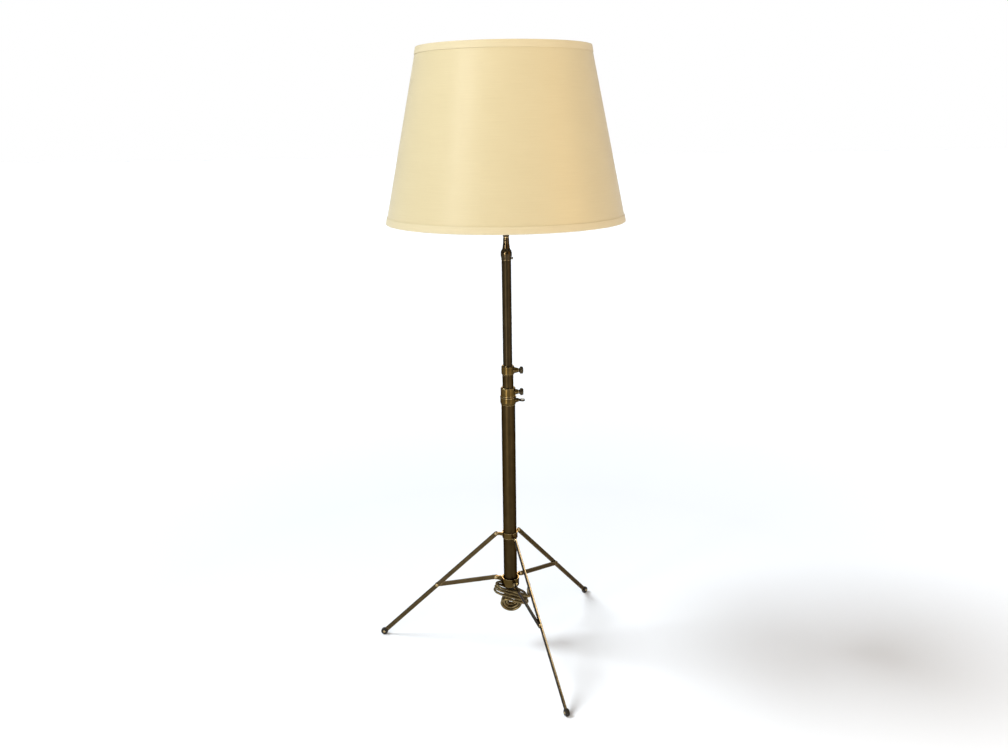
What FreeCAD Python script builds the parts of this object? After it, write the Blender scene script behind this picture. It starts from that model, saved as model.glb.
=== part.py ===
import FreeCAD, Part
import math
import os
from FreeCAD import Vector

# Telescoping floor lamp on a folding tripod, in millimetres.
# The origin is on the floor, on the axis of the post. +Z points up the post.
# Radial means away from the post's axis, and each leg stands in its own radial plane.

# Fits
running_gap = 0.05        # radial gap of a piece that turns or slides in another
seat_gap = 0.02           # radial gap of a piece that is pressed or soldered in place
loose_gap = 0.3           # gap beside pieces that pass each other

# Tripod
leg_count = 3
first_leg_angle = 171.1   # degrees from +X
leg_spread = 45.7         # degrees between a leg and the post
leg_length = 354.9        # upper pivot to the middle of the foot
leg_tip = 4.0             # leg beyond the middle of the foot
leg_depth = 9.3
leg_width = 3.6
leg_wall = 0.6
leg_corner = 1.0
leg_pivot_radius = 29.8   # from the post's axis
leg_to_brace = 184.0      # upper pivot to the brace's pivot, along the leg
brace_length = 133.0      # pivot to pivot
brace_depth = 9.4
brace_thickness = 2.4
brace_pivot_radius = 31.2
folded_brace_rise = 84.0  # degrees above level when the tripod is folded
rivet_radius = 2.0
rivet_head_radius = 3.4
rivet_head_height = 1.4

# Feet
foot_rise = 7.2           # middle of the foot above the floor
foot_radius = 7.5
foot_thickness = 8.8
foot_edge = 2.6
foot_rivet_head_radius = 2.7

# Upper hub
hub_band_wall = 1.95
hub_band_above = 7.1      # band above the pivots
hub_band_below = 5.3
hub_ear_thickness = 2.0
hub_ear_radius = 3.6

# Lower hub
cup_radius = 18.4
cup_wall = 1.8
cup_rim_above = 4.6       # rim above the pivots
cup_seat_below = 4.4      # tube's seat below the pivots
cup_web = 3.0
cup_skirt = 6.0
cup_skirt_wall = 4.2
cup_edge = 0.8
cup_ear_radius = 4.5
cup_ear_thickness = 3.0
cup_ear_gap = 0.1

# Tube plug and cord bush
plug_length = 12.0
plug_neck_radius = 6.0
plug_lip = 1.5
plug_lip_height = 2.0
bush_radius = 4.5
bush_flange_radius = 6.6
bush_flange_height = 2.0
bush_length = 10.0

# Tubes
lower_tube_radius = 14.0
lower_tube_bore = 12.5
lower_tube_length = 407.0
mid_tube_radius = 11.1
mid_tube_bore = 9.8
upper_tube_radius = 9.3
upper_tube_bore = 8.0
upper_tube_length = 416.0
mid_showing = 26.6        # mid tube between the two clamps
upper_showing = 211.4     # upper tube between its clamp and the neck
mid_drop = 29.4           # mid tube's foot above the tube plug
guide_length = 12.0

# Lower clamp
collar_height = 15.1
collar_radius = 15.85
collar_bevel = 4.8
collar_foot_radius = 14.5
clamp_height = 20.8
clamp_radius = 15.0
clamp_bevel = 1.4
clamp_spigot = 16.0
bead_radius = 16.4
bead_height = 3.0

# Upper clamp
cap_height = 18.7
cap_radius = 13.0
cap_socket = 5.5          # depth of the mid tube's seat
cap_bevel = 2.4
cap_bevel_inset = 1.3

# Clamp screws
boss_radius = 6.7
boss_tip_radius = 4.2
boss_reach = 21.0         # from the post's axis
clamp_boss_above = 11.0   # screw's axis above the clamp's foot
cap_boss_above = 8.6
lug_radius = 5.2
lug_tip_radius = 3.6
lug_below = 6.4           # spade screw's axis below the collar's top
screw_radius = 2.45
knob_neck_radius = 3.8
knob_radius = 7.3
knob_flare = 3.4
knob_rim = 4.4
knob_length = 9.6
knob_face_radius = 5.2
flute_count = 14
flute_radius = 0.9
spade_length = 10.4
spade_width = 16.0
spade_thickness = 3.0
spade_neck = 3.0
spade_edge = 1.2

# Neck
neck_socket = 16.0        # depth of the upper tube's seat
neck_height = 43.5
neck_foot_radius = 9.8
neck_bulb_radius = 10.95
neck_stem_radius = 7.2     # foot of the stem above the bulb
neck_tip_radius = 5.75
neck_lip = 3.5
set_screw_above = 3.4
set_screw_radius = 1.45
set_screw_head_radius = 2.6
set_screw_reach = 13.2
set_screw_slot = 0.7
nipple_radius = 5.1
nipple_bore = 3.4
nipple_below = 8.0        # nipple below the neck's shoulder
nipple_showing = 1.5
nipple_above = 10.0       # nipple above the check ring
lock_nut_flats = 12.6
lock_nut_height = 3.4
check_ring_radius = 6.1
check_ring_height = 4.5

# Lamp holder
holder_cap_radius = 17.0
holder_cap_height = 22.0
holder_cap_wall = 0.7
holder_hub_radius = 6.8
holder_hub_height = 4.7
shell_height = 48.0
shell_wall = 0.5
shell_lap = 5.0           # shell inside its cap
liner_wall = 0.7
holder_body_height = 20.0
screw_shell_radius = 14.2
screw_shell_bore = 13.4
screw_shell_height = 23.0
key_above = 15.0          # key's axis above the shell's foot
key_shaft_radius = 1.9
key_shaft_reach = 24.0
key_length = 11.0
key_width = 12.0
key_thickness = 3.6

# Lamp
lamp_radius = 30.0
lamp_base_radius = 13.0
lamp_base_height = 24.0
lamp_glass_wall = 0.8
lamp_glass_height = 85.0
lamp_neck_radius = 13.6

# Harp
saddle_thickness = 1.4
saddle_width = 12.0
saddle_flat = 14.0        # half of the level stretch
saddle_rise = 8.5
saddle_half = 29.5        # tab's middle from the post's axis
saddle_bend = 3.0
tab_width = 4.0
tab_height = 13.5
shoulder_height = 2.4
harp_wire_radius = 1.6
harp_height = 293.3       # from the ferrules' seat to the middle of the top wire
harp_half = 58.0          # half of the greatest width
harp_straight = 18.0
harp_bulge = 104.0        # height of the greatest width
harp_lean = 18.5          # degrees from upright where the top corner starts
harp_corner = 22.0
harp_flat = 9.5           # half of the level stretch at the top
ferrule_bore = 3.3
ferrule_radius = 4.2
ferrule_length = 13.0
stud_radius = 3.175
stud_length = 12.5
stud_disc_radius = 7.0
stud_disc_height = 2.0

# Shade
shade_top_radius = 161.5
shade_bottom_radius = 228.6
shade_height = 316.9
shade_recess = 34.2       # spider's washer below the shade's top
fabric_thickness = 1.0
tape_thickness = 0.6
tape_width = 12.5
tape_return = 9.0
ring_wire_radius = 1.5
spoke_radius = 1.5
spoke_bend = 12.0
spoke_turn_in = 14.0      # bend in from the ring
washer_radius = 11.0
washer_thickness = 1.6
finial_height = 22.0
finial_radius = 7.2
finial_foot_radius = 6.4
finial_waist_radius = 3.9
finial_bore_depth = 12.8

# Lamp cord
cord_diameter = 5.2
coil_pitch = 5.75         # from one turn to the next, and from one layer to the next
coil_layers = 4
coil_turns = 8.667
coil_half_width = 22.3    # outermost turn's middle line
coil_half_height = 20.3
coil_shift = 2.0          # coil's middle towards +X from the post's axis
coil_drop = 39.4          # coil's middle below the cord bush
coil_start_angle = 60.0   # degrees from +X towards +Z, and the turns run the other way
wrap_shift = 0.15
wrap_drop = 10.7
wrap_tilt = 18.0          # degrees, with the end at -X the higher one
wrap_half_run = 17.2
wrap_half_width = 14.5
wrap_lifts = (-19.8, -13.6, -6.2, 0.0)
wrap_flare = 0.62         # extra reach at +X for each millimetre that a wrap lies lower
wrap_entry = -5.0         # first wrap's start along its front run
plug_shift = 39.8
plug_drop = 25.1
plug_body_length = 17.0
plug_body_width = 16.5
plug_body_thickness = 9.0
plug_nose = 3.0
plug_nose_radius = 4.0
blade_length = 15.9
blade_width = 6.35
blade_thickness = 1.5
blade_spacing = 12.7

os.makedirs("parts", exist_ok=True)

up = Vector(0, 0, 1)
centre = Vector(0, 0, 0)

# Heights up the post, from the legs to the shade
spread = math.radians(leg_spread)
upper_pivot_z = leg_length * math.cos(spread) + foot_rise
brace_reach = leg_to_brace * math.sin(spread) + leg_pivot_radius - brace_pivot_radius
brace_fall = math.degrees(math.acos(brace_reach / brace_length))
lower_pivot_z = (upper_pivot_z - leg_to_brace * math.cos(spread)
                 + brace_length * math.sin(math.radians(brace_fall)))
seat_z = lower_pivot_z - cup_seat_below
web_z = seat_z - cup_web
bush_z = web_z - plug_lip_height - bush_flange_height
lower_tube_top = seat_z + lower_tube_length
clamp_top = lower_tube_top + clamp_height
cap_z = clamp_top + mid_showing
mid_tube_top = cap_z + cap_socket
mid_tube_z = seat_z + plug_length + mid_drop
cap_top = cap_z + cap_height
neck_z = cap_top + upper_showing
upper_tube_top = neck_z + neck_socket
neck_top = neck_z + neck_height
check_ring_z = neck_top + nipple_showing
saddle_z = check_ring_z + check_ring_height
holder_z = saddle_z + saddle_thickness
shell_z = holder_z + holder_cap_height - shell_lap
screw_shell_z = shell_z + 1.0 + holder_body_height
lamp_z = screw_shell_z + 1.5
shoulder_z = saddle_z + saddle_thickness / 2 + saddle_rise + shoulder_height
harp_top = shoulder_z + harp_height + harp_wire_radius
washer_z = harp_top + stud_disc_height
finial_z = washer_z + washer_thickness
shade_top = washer_z + shade_recess
shade_bottom = shade_top - shade_height

# Places of the cord's forms under the bush
coil_middle = Vector(coil_shift, 0, bush_z - coil_drop)
wrap_middle = Vector(wrap_shift, 0, bush_z - wrap_drop)
plug_place = Vector(plug_shift, 0, bush_z - plug_drop)


def as_point(pair):
    """Point in the XZ plane, from the last two numbers of a step."""
    return Vector(pair[0], 0, pair[1])


def outline(start, *steps):
    """Closed face in the XZ plane: (x, z) is a straight step, (x, z, x, z) an arc."""
    edges = []
    at = start
    for step in steps + (start,):
        end = step[-2:]
        if len(step) == 4:
            edges.append(Part.Arc(as_point(at), as_point(step[:2]), as_point(end)).toShape())
        elif as_point(at).distanceToPoint(as_point(end)) > 1e-6:
            edges.append(Part.LineSegment(as_point(at), as_point(end)).toShape())
        at = end
    return Part.Face(Part.Wire(edges))


def turned(start, *steps):
    """Solid of revolution about the Z axis, from an outline of radii and heights."""
    solid = outline(start, *steps).revolve(centre, up, 360)
    if solid.Volume < 0:
        solid.reverse()
    return solid


def plate(face, y_low, y_high):
    """Plate of an outline in the XZ plane, between two places along Y."""
    slab = face.extrude(Vector(0, y_high - y_low, 0))
    slab.translate(Vector(0, y_low, 0))
    if slab.Volume < 0:
        slab.reverse()
    return slab


def ring(outer, inner, low, high):
    """Round sleeve about the Z axis."""
    return turned((inner, low), (outer, low), (outer, high), (inner, high))


def bar(radius, start, end):
    """Round bar between two points."""
    run = end - start
    return Part.makeCylinder(radius, run.Length, start, run)


def block(low, high):
    """Box between two corners."""
    return Part.makeBox(high.x - low.x, high.y - low.y, high.z - low.z, low)


def laid_along_x(shape, height):
    """Piece turned about +Z, laid so that its axis runs out along +X at a height."""
    shape.rotate(centre, Vector(0, 1, 0), 90)
    shape.translate(Vector(0, 0, height))
    return shape


def in_radial_plane(shape, fall, radius, height, azimuth):
    """Piece drawn along +X, set at a pivot, falling outwards, in a leg's plane."""
    placed = shape.copy()
    placed.rotate(centre, Vector(0, 1, 0), fall)
    placed.translate(Vector(radius, 0, height))
    placed.rotate(centre, up, azimuth)
    return placed


def leg_angles():
    """Azimuths of the legs."""
    return [first_leg_angle + 360.0 * index / leg_count for index in range(leg_count)]


def save(shape, name):
    """Write one node."""
    shape.exportStep("parts/" + name + ".step")


def across(radius, x, y_low, y_high):
    """Round bar along Y through a point of the X axis."""
    return bar(radius, Vector(x, y_low, 0), Vector(x, y_high, 0))


def rivet_head(x, y, side, radius=rivet_head_radius):
    """Domed rivet head on a face at y, standing out to the side given."""
    ball = (radius ** 2 + rivet_head_height ** 2) / (2 * rivet_head_height)
    half = math.asin(radius / ball) / 2
    half_way = (ball * math.sin(half), rivet_head_height - ball * (1 - math.cos(half)))
    head = turned((0, 0), (radius, 0), half_way + (0, rivet_head_height))
    head.rotate(centre, Vector(1, 0, 0), -90 * side)
    head.translate(Vector(x, y, 0))
    return head


# Legs, their rivets and their feet

def leg():
    """Pressed channel from its upper pivot at the origin, open below, with two ears at the pivot."""
    half_depth = leg_depth / 2
    half_width = leg_width / 2
    half_inside = half_width - leg_wall
    bend = leg_corner * (1 - math.sqrt(0.5))
    end = leg_length + leg_tip
    section = outline((-half_width, -half_depth), (-half_width, half_depth - leg_corner),
                      (-half_width + bend, half_depth - bend, -half_width + leg_corner, half_depth),
                      (half_width - leg_corner, half_depth),
                      (half_width - bend, half_depth - bend, half_width, half_depth - leg_corner),
                      (half_width, -half_depth), (half_inside, -half_depth),
                      (half_inside, half_depth - leg_wall), (-half_inside, half_depth - leg_wall),
                      (-half_inside, -half_depth))
    section.rotate(centre, up, 90)
    channel = section.extrude(Vector(end + half_depth, 0, 0))
    channel.translate(Vector(-half_depth, 0, 0))
    side = outline((0, half_depth), (end, half_depth), (end, -half_depth), (0, -half_depth),
                   (-half_depth, 0, 0, half_depth))
    body = channel.common(plate(side, -half_width, half_width))
    mouth = block(Vector(-leg_depth, -half_inside, -leg_depth), Vector(1.5, half_inside, leg_depth))
    body = body.cut(mouth)
    for x in (0, leg_to_brace, leg_length):
        body = body.cut(across(rivet_radius + seat_gap, x, -leg_width, leg_width))
    return body


def leg_rivets():
    """Rivets of the upper pivot and the foot, and the leg's half of the rivet that the brace turns on."""
    half_width = leg_width / 2
    upper = across(rivet_radius, 0, -half_width, half_width)
    upper = upper.fuse([rivet_head(0, half_width, 1), rivet_head(0, -half_width, -1)])
    lower = across(rivet_radius, leg_to_brace, -half_width, half_width)
    lower = lower.fuse(rivet_head(leg_to_brace, half_width, 1))
    half_foot = foot_thickness / 2
    end = across(rivet_radius, leg_length, -half_foot, half_foot)
    end = end.fuse([rivet_head(leg_length, half_foot, 1, foot_rivet_head_radius),
                    rivet_head(leg_length, -half_foot, -1, foot_rivet_head_radius)])
    return Part.makeCompound([upper, lower, end])


def foot():
    """Round rubber foot with rounded edges, standing across the end of the leg, which a rivet holds."""
    half = foot_thickness / 2
    bend = foot_edge * (1 - math.sqrt(0.5))
    disc = turned((0, -half), (foot_radius - foot_edge, -half),
                  (foot_radius - bend, bend - half, foot_radius, foot_edge - half),
                  (foot_radius, half - foot_edge),
                  (foot_radius - bend, half - bend, foot_radius - foot_edge, half), (0, half))
    disc.rotate(centre, Vector(1, 0, 0), 90)
    disc.translate(Vector(leg_length, 0, 0))
    pocket = block(Vector(leg_length - foot_radius - 1, -leg_width / 2, -leg_depth / 2),
                   Vector(leg_length + leg_tip, leg_width / 2, leg_depth / 2))
    return disc.cut([pocket, across(rivet_radius + seat_gap, leg_length, -half - 1, half + 1)])


def brace():
    """Flat strip from its lower pivot at the origin, with its half of the leg rivet at the far end."""
    half = brace_depth / 2
    near = -leg_width / 2 - loose_gap
    far = near - brace_thickness
    strip = plate(outline((0, half), (brace_length, half), (brace_length + half, 0, brace_length, -half),
                          (0, -half), (-half, 0, 0, half)), far, near)
    strip = strip.cut(across(rivet_radius + running_gap, 0, far - 1, near + 1))
    return strip.fuse(rivet_head(brace_length, far, -1))


leg_shape = leg()
rivet_pair = leg_rivets()
foot_shape = foot()
brace_shape = brace()
floor_cut = block(Vector(-1000, -1000, -100), Vector(1000, 1000, 0))
for number, azimuth in enumerate(leg_angles(), 1):
    place = (90 - leg_spread, leg_pivot_radius, upper_pivot_z, azimuth)
    save(in_radial_plane(leg_shape, *place), "leg_%d" % number)
    save(in_radial_plane(rivet_pair, *place), "leg_rivets_%d" % number)
    save(in_radial_plane(foot_shape, *place).cut(floor_cut), "foot_%d" % number)
    save(in_radial_plane(brace_shape, brace_fall, brace_pivot_radius, lower_pivot_z, azimuth),
         "brace_%d" % number)


# Upper hub: a band that slides on the lower tube, with an ear inside each leg

band_radius = lower_tube_radius + running_gap + hub_band_wall
band_low = upper_pivot_z - hub_band_below
band_high = upper_pivot_z + hub_band_above
hub = ring(band_radius, lower_tube_radius + running_gap, band_low, band_high)
ear_root = band_radius - hub_band_wall / 2
ear_face = outline((ear_root, upper_pivot_z + hub_ear_radius),
                   (leg_pivot_radius, upper_pivot_z + hub_ear_radius),
                   (leg_pivot_radius + hub_ear_radius, upper_pivot_z,
                    leg_pivot_radius, upper_pivot_z - hub_ear_radius),
                   (leg_pivot_radius - 4.0, upper_pivot_z - hub_ear_radius),
                   (band_radius + 3.2, band_low + 2.0, ear_root, band_low + 0.4))
hub_ear = plate(ear_face, -hub_ear_thickness / 2, hub_ear_thickness / 2)
hub_ear = hub_ear.cut(bar(rivet_radius + running_gap, Vector(leg_pivot_radius, -9, upper_pivot_z),
                          Vector(leg_pivot_radius, 9, upper_pivot_z)))
for azimuth in leg_angles():
    turned_ear = hub_ear.copy()
    turned_ear.rotate(centre, up, azimuth)
    hub = hub.fuse(turned_ear)
save(hub, "upper_hub")

# Lower hub: a cup round the foot of the lower tube, with an ear beside each brace

cup_rim_z = lower_pivot_z + cup_rim_above
skirt_z = web_z - cup_skirt
neck_hole = plug_neck_radius + seat_gap
skirt_bore = cup_radius - cup_skirt_wall
cup_bore = cup_radius - cup_wall
cup = turned((neck_hole, web_z), (skirt_bore, web_z), (skirt_bore, skirt_z), (cup_radius - cup_edge, skirt_z),
             (cup_radius - cup_edge * 0.3, skirt_z + cup_edge * 0.3, cup_radius, skirt_z + cup_edge),
             (cup_radius, cup_rim_z), (cup_bore, cup_rim_z), (cup_bore, seat_z), (neck_hole, seat_z))
ear_near = -leg_width / 2 - loose_gap + cup_ear_gap
cup_root = cup_radius - cup_wall / 2
cup_ear_face = outline((cup_root, lower_pivot_z + cup_ear_radius),
                       (brace_pivot_radius, lower_pivot_z + cup_ear_radius),
                       (brace_pivot_radius + cup_ear_radius, lower_pivot_z,
                        brace_pivot_radius, lower_pivot_z - cup_ear_radius),
                       (cup_radius + 5.0, lower_pivot_z - cup_ear_radius - 1.0,
                        cup_root, skirt_z + 2.5))
cup_ear = plate(cup_ear_face, ear_near, ear_near + cup_ear_thickness)
cup_ear = cup_ear.cut(bar(rivet_radius + seat_gap, Vector(brace_pivot_radius, -9, lower_pivot_z),
                          Vector(brace_pivot_radius, 9, lower_pivot_z)))
brace_far = -leg_width / 2 - loose_gap - brace_thickness - running_gap
ear_far = ear_near + cup_ear_thickness
cup_rivet = across(rivet_radius, 0, brace_far, ear_far)
cup_rivet = cup_rivet.fuse([rivet_head(0, brace_far, -1), rivet_head(0, ear_far, 1)])
cup_rivets = []
for azimuth in leg_angles():
    turned_ear = cup_ear.copy()
    turned_ear.rotate(centre, up, azimuth)
    cup = cup.fuse(turned_ear)
    cup_rivets.append(in_radial_plane(cup_rivet, 0, brace_pivot_radius, lower_pivot_z, azimuth))
save(cup, "lower_hub")
save(Part.makeCompound(cup_rivets), "lower_hub_rivets")

# Tube plug, spun over under the cup's web, with the cord bush in it

plug_bore = bush_radius + seat_gap
lip_z = web_z - plug_lip_height
plug_radius = lower_tube_bore - seat_gap
lip_radius = plug_neck_radius + plug_lip
tube_plug = turned((plug_bore, lip_z), (lip_radius, lip_z), (lip_radius, web_z), (plug_neck_radius, web_z),
                   (plug_neck_radius, seat_z), (plug_radius, seat_z), (plug_radius, seat_z + plug_length),
                   (plug_bore, seat_z + plug_length))
save(tube_plug, "tube_plug")
bush_top = bush_z + bush_length
cord_bush = turned((0, bush_z), (bush_flange_radius - 0.8, bush_z), (bush_flange_radius, bush_z + 0.8),
                   (bush_flange_radius, lip_z), (bush_radius, lip_z), (bush_radius, bush_top), (0, bush_top))
save(cord_bush, "cord_bush")

# Tubes and their guide bushes

save(ring(lower_tube_radius, lower_tube_bore, seat_z, lower_tube_top), "lower_tube")
save(ring(mid_tube_radius, mid_tube_bore, mid_tube_z, mid_tube_top), "mid_tube")
mid_guide = ring(lower_tube_bore - running_gap, mid_tube_radius + seat_gap,
                 mid_tube_z, mid_tube_z + guide_length)
save(mid_guide, "mid_guide")
upper_tube_z = upper_tube_top - upper_tube_length
save(ring(upper_tube_radius, upper_tube_bore, upper_tube_z, upper_tube_top), "upper_tube")
upper_guide = ring(mid_tube_bore - running_gap, upper_tube_radius + seat_gap,
                   upper_tube_z, upper_tube_z + guide_length)
save(upper_guide, "upper_guide")

# Clamps

screw_hole = screw_radius + running_gap


def boss(root_radius, tip_radius, inner, height):
    """Tapered boss that stands out along +X, with the screw's hole still to be cut."""
    reach = boss_reach - inner
    return Part.makeCone(root_radius, tip_radius, reach, Vector(inner, 0, height), Vector(1, 0, 0))


def screw_bore(height):
    """Hole along +X from the post's axis through a boss."""
    return bar(screw_hole, Vector(0, 0, height), Vector(boss_reach + 5, 0, height))


collar_z = lower_tube_top - collar_height
lug_z = lower_tube_top - lug_below
collar_bore = lower_tube_radius + seat_gap
collar = turned((collar_bore, collar_z), (collar_foot_radius, collar_z),
                (collar_radius, collar_z + collar_bevel), (collar_radius, lower_tube_top),
                (collar_bore, lower_tube_top))
collar = collar.fuse(boss(lug_radius, lug_tip_radius, lower_tube_radius + 0.7, lug_z))
collar = collar.cut(bar(collar_bore, Vector(0, 0, collar_z - 1), Vector(0, 0, lower_tube_top + 1)))
save(collar.cut(screw_bore(lug_z)), "lower_collar")

clamp_bore = mid_tube_radius + running_gap
clamp_screw_z = lower_tube_top + clamp_boss_above
clamp = turned((clamp_bore, lower_tube_top - clamp_spigot),
               (lower_tube_bore - seat_gap, lower_tube_top - clamp_spigot),
               (lower_tube_bore - seat_gap, lower_tube_top), (clamp_radius, lower_tube_top),
               (bead_radius, lower_tube_top + bead_height / 2,
                clamp_radius, lower_tube_top + bead_height),
               (clamp_radius, clamp_top - clamp_bevel), (clamp_radius - clamp_bevel, clamp_top),
               (clamp_bore, clamp_top))
clamp = clamp.fuse(boss(boss_radius, boss_tip_radius, mid_tube_radius + 1.5, clamp_screw_z))
clamp = clamp.cut(screw_bore(clamp_screw_z))
save(clamp, "lower_clamp")

cap_bore = upper_tube_radius + running_gap
cap_seat = mid_tube_radius + seat_gap
cap_screw_z = cap_z + cap_boss_above
cap_face = cap_radius - cap_bevel_inset
cap = turned((cap_seat, cap_z), (cap_face, cap_z), (cap_radius, cap_z + cap_bevel),
             (cap_radius, cap_top - cap_bevel), (cap_face, cap_top), (cap_bore, cap_top),
             (cap_bore, mid_tube_top), (cap_seat, mid_tube_top))
cap = cap.fuse(boss(boss_radius, boss_tip_radius, mid_tube_radius + 0.8, cap_screw_z))
cap = cap.cut(screw_bore(cap_screw_z))
save(cap, "upper_clamp")


def thumb_screw(tip):
    """Flared thumb screw with a fluted rim, its axis on Z, from its tip to its knob."""
    base = boss_reach + loose_gap
    rim_low = base + knob_flare
    rim_high = rim_low + knob_rim
    top = base + knob_length
    knob = turned((0, tip), (screw_radius, tip), (screw_radius, base), (knob_neck_radius, base),
                  (knob_neck_radius + 1.0, base + knob_flare * 0.66, knob_radius, rim_low),
                  (knob_radius, rim_high), (knob_face_radius, top), (0, top + 0.4))
    flutes = []
    for index in range(flute_count):
        angle = 2 * math.pi * index / flute_count
        place = Vector(knob_radius * math.cos(angle), knob_radius * math.sin(angle), rim_low - 1)
        flutes.append(Part.makeCylinder(flute_radius, knob_length, place, up))
    return knob.cut(flutes)


def spade_screw(tip):
    """Screw with a flat oval thumb piece, its axis on Z, the flat of the oval facing +X."""
    base = boss_reach + loose_gap
    shank = turned((0, tip), (screw_radius, tip), (screw_radius, base), (spade_neck, base),
                   (spade_neck * 0.8, base + spade_length / 2), (0, base + spade_length / 2))
    oval = Part.Ellipse(Vector(0, 0, base + 2.2 + spade_length / 2), spade_width / 2, spade_length / 2)
    rim = oval.toShape()
    rim.rotate(Vector(0, 0, base + 2.2 + spade_length / 2), Vector(1, 0, 0), 90)
    blade = Part.Face(Part.Wire(rim)).extrude(Vector(0, spade_thickness, 0))
    blade.translate(Vector(0, -spade_thickness / 2, 0))
    blade = blade.makeFillet(spade_edge, blade.Edges)
    blade.rotate(centre, up, 90)
    return shank.fuse(blade)


save(laid_along_x(thumb_screw(mid_tube_radius + loose_gap), clamp_screw_z), "lower_clamp_screw")
save(laid_along_x(thumb_screw(upper_tube_radius + loose_gap), cap_screw_z), "upper_clamp_screw")
save(laid_along_x(spade_screw(lower_tube_radius + loose_gap), lug_z), "lower_lock_screw")

# Neck, set screw, nipple, lock nut and check ring

neck_bore = upper_tube_radius + seat_gap
nipple_hole = nipple_radius + seat_gap
bulb_z = neck_z + 10.5
shoulder_top = neck_z + 18.6
stem_z = neck_z + 23.6
neck = turned((neck_bore, neck_z), (neck_foot_radius, neck_z), (neck_foot_radius, neck_z + neck_lip),
              (neck_bulb_radius, bulb_z, neck_foot_radius + 0.1, shoulder_top),
              (neck_stem_radius + 0.7, shoulder_top + 2.6, neck_stem_radius, stem_z),
              (neck_tip_radius + 0.45, stem_z + 9.0), (neck_tip_radius, neck_top),
              (nipple_hole, neck_top), (nipple_hole, upper_tube_top), (neck_bore, upper_tube_top))
set_screw_z = neck_z + set_screw_above
neck = neck.cut(bar(set_screw_radius + running_gap, Vector(0, 0, set_screw_z), Vector(20, 0, set_screw_z)))
save(neck, "neck")

head_base = neck_bulb_radius + 0.1
set_screw = turned((0, upper_tube_radius + loose_gap), (set_screw_radius, upper_tube_radius + loose_gap),
                   (set_screw_radius, head_base), (set_screw_head_radius, head_base),
                   (set_screw_head_radius, set_screw_reach), (0, set_screw_reach))
set_screw = set_screw.cut(block(Vector(-set_screw_slot / 2, -5, set_screw_reach - 1.2),
                                Vector(set_screw_slot / 2, 5, set_screw_reach + 1)))
save(laid_along_x(set_screw, set_screw_z), "neck_set_screw")

nipple_top = saddle_z + saddle_thickness + nipple_above
save(ring(nipple_radius, nipple_bore, upper_tube_top - nipple_below, nipple_top), "nipple")
nut_z = upper_tube_top - lock_nut_height
nut_corner = Vector(lock_nut_flats / math.sqrt(3), 0, nut_z)
nut_corners = []
for index in range(7):
    corner = Part.Vertex(nut_corner)
    corner.rotate(centre, up, 60 * index)
    nut_corners.append(corner.Point)
lock_nut = Part.Face(Part.makePolygon(nut_corners)).extrude(Vector(0, 0, lock_nut_height))
save(lock_nut.cut(bar(nipple_hole, Vector(0, 0, neck_z), Vector(0, 0, neck_top))), "lock_nut")
check_face = check_ring_radius - 0.5
check_ring = turned((nipple_hole, check_ring_z), (check_face, check_ring_z),
                    (check_ring_radius + 0.1, check_ring_z + check_ring_height / 2, check_face, saddle_z),
                    (nipple_hole, saddle_z))
save(check_ring, "check_ring")

# Lamp holder: metal cap and shell, insulating liner and body, screw shell, turn key

cap_inner = holder_cap_radius - holder_cap_wall
holder_cap_top = holder_z + holder_cap_height
hub_face = holder_z + holder_hub_height
holder_cap = turned((nipple_hole, holder_z), (holder_hub_radius, holder_z),
                    (holder_hub_radius, holder_z + 3.4),
                    (holder_cap_radius - 3.6, holder_z + 7.4, holder_cap_radius, holder_z + 15.4),
                    (holder_cap_radius, holder_cap_top), (cap_inner, holder_cap_top),
                    (cap_inner, holder_z + 15.8),
                    (cap_inner - 3.5, holder_z + 8.2, holder_hub_radius - 0.8, hub_face),
                    (nipple_hole, hub_face))
save(holder_cap, "holder_cap")

key_z = shell_z + key_above
key_hole = bar(key_shaft_radius + 0.6, Vector(0, 0, key_z), Vector(0, -30, key_z))
shell_radius = cap_inner - seat_gap
shell_bore = shell_radius - shell_wall
save(ring(shell_radius, shell_bore, shell_z, shell_z + shell_height).cut(key_hole), "holder_shell")
liner_radius = shell_bore - seat_gap
liner_bore = liner_radius - liner_wall
save(ring(liner_radius, liner_bore, shell_z + 0.5, shell_z + shell_height - 1).cut(key_hole), "holder_liner")
body_radius = liner_bore - seat_gap
body_low = shell_z + 1.0
holder_body = turned((0, body_low), (body_radius - 3, body_low), (body_radius, body_low + 3),
                     (body_radius, screw_shell_z), (0, screw_shell_z))
shaft_hole = bar(key_shaft_radius + running_gap, Vector(0, -3, key_z), Vector(0, -30, key_z))
holder_body = holder_body.cut(shaft_hole)
save(holder_body, "holder_body")
screw_shell = turned((4, screw_shell_z), (screw_shell_radius, screw_shell_z),
                     (screw_shell_radius, screw_shell_z + screw_shell_height),
                     (screw_shell_bore, screw_shell_z + screw_shell_height),
                     (screw_shell_bore, screw_shell_z + 0.6), (4, screw_shell_z + 0.6))
save(screw_shell, "screw_shell")

key_y = -key_shaft_reach
shaft = bar(key_shaft_radius, Vector(0, -3.5, key_z), Vector(0, key_y, key_z))
paddle = block(Vector(-key_width / 2, key_y - key_length, key_z - key_thickness / 2),
               Vector(key_width / 2, key_y, key_z + key_thickness / 2))
paddle = paddle.makeFillet(key_thickness * 0.3, paddle.Edges)
save(shaft.fuse(paddle), "switch_key")

# Lamp

base_top = lamp_z + lamp_base_height
base_bore = lamp_base_radius - 0.5
lamp_base = turned((0, lamp_z), (3.5, lamp_z), (4.5, lamp_z + 1.5), (9, lamp_z + 2.5),
                   (lamp_base_radius, lamp_z + 6), (lamp_base_radius, base_top), (base_bore, base_top),
                   (base_bore, lamp_z + 8), (0, lamp_z + 8))
save(lamp_base, "lamp_base")
glass_low = base_top - 3
ball_z = glass_low + lamp_glass_height + 3 - lamp_radius
tangent = math.radians(40)


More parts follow.
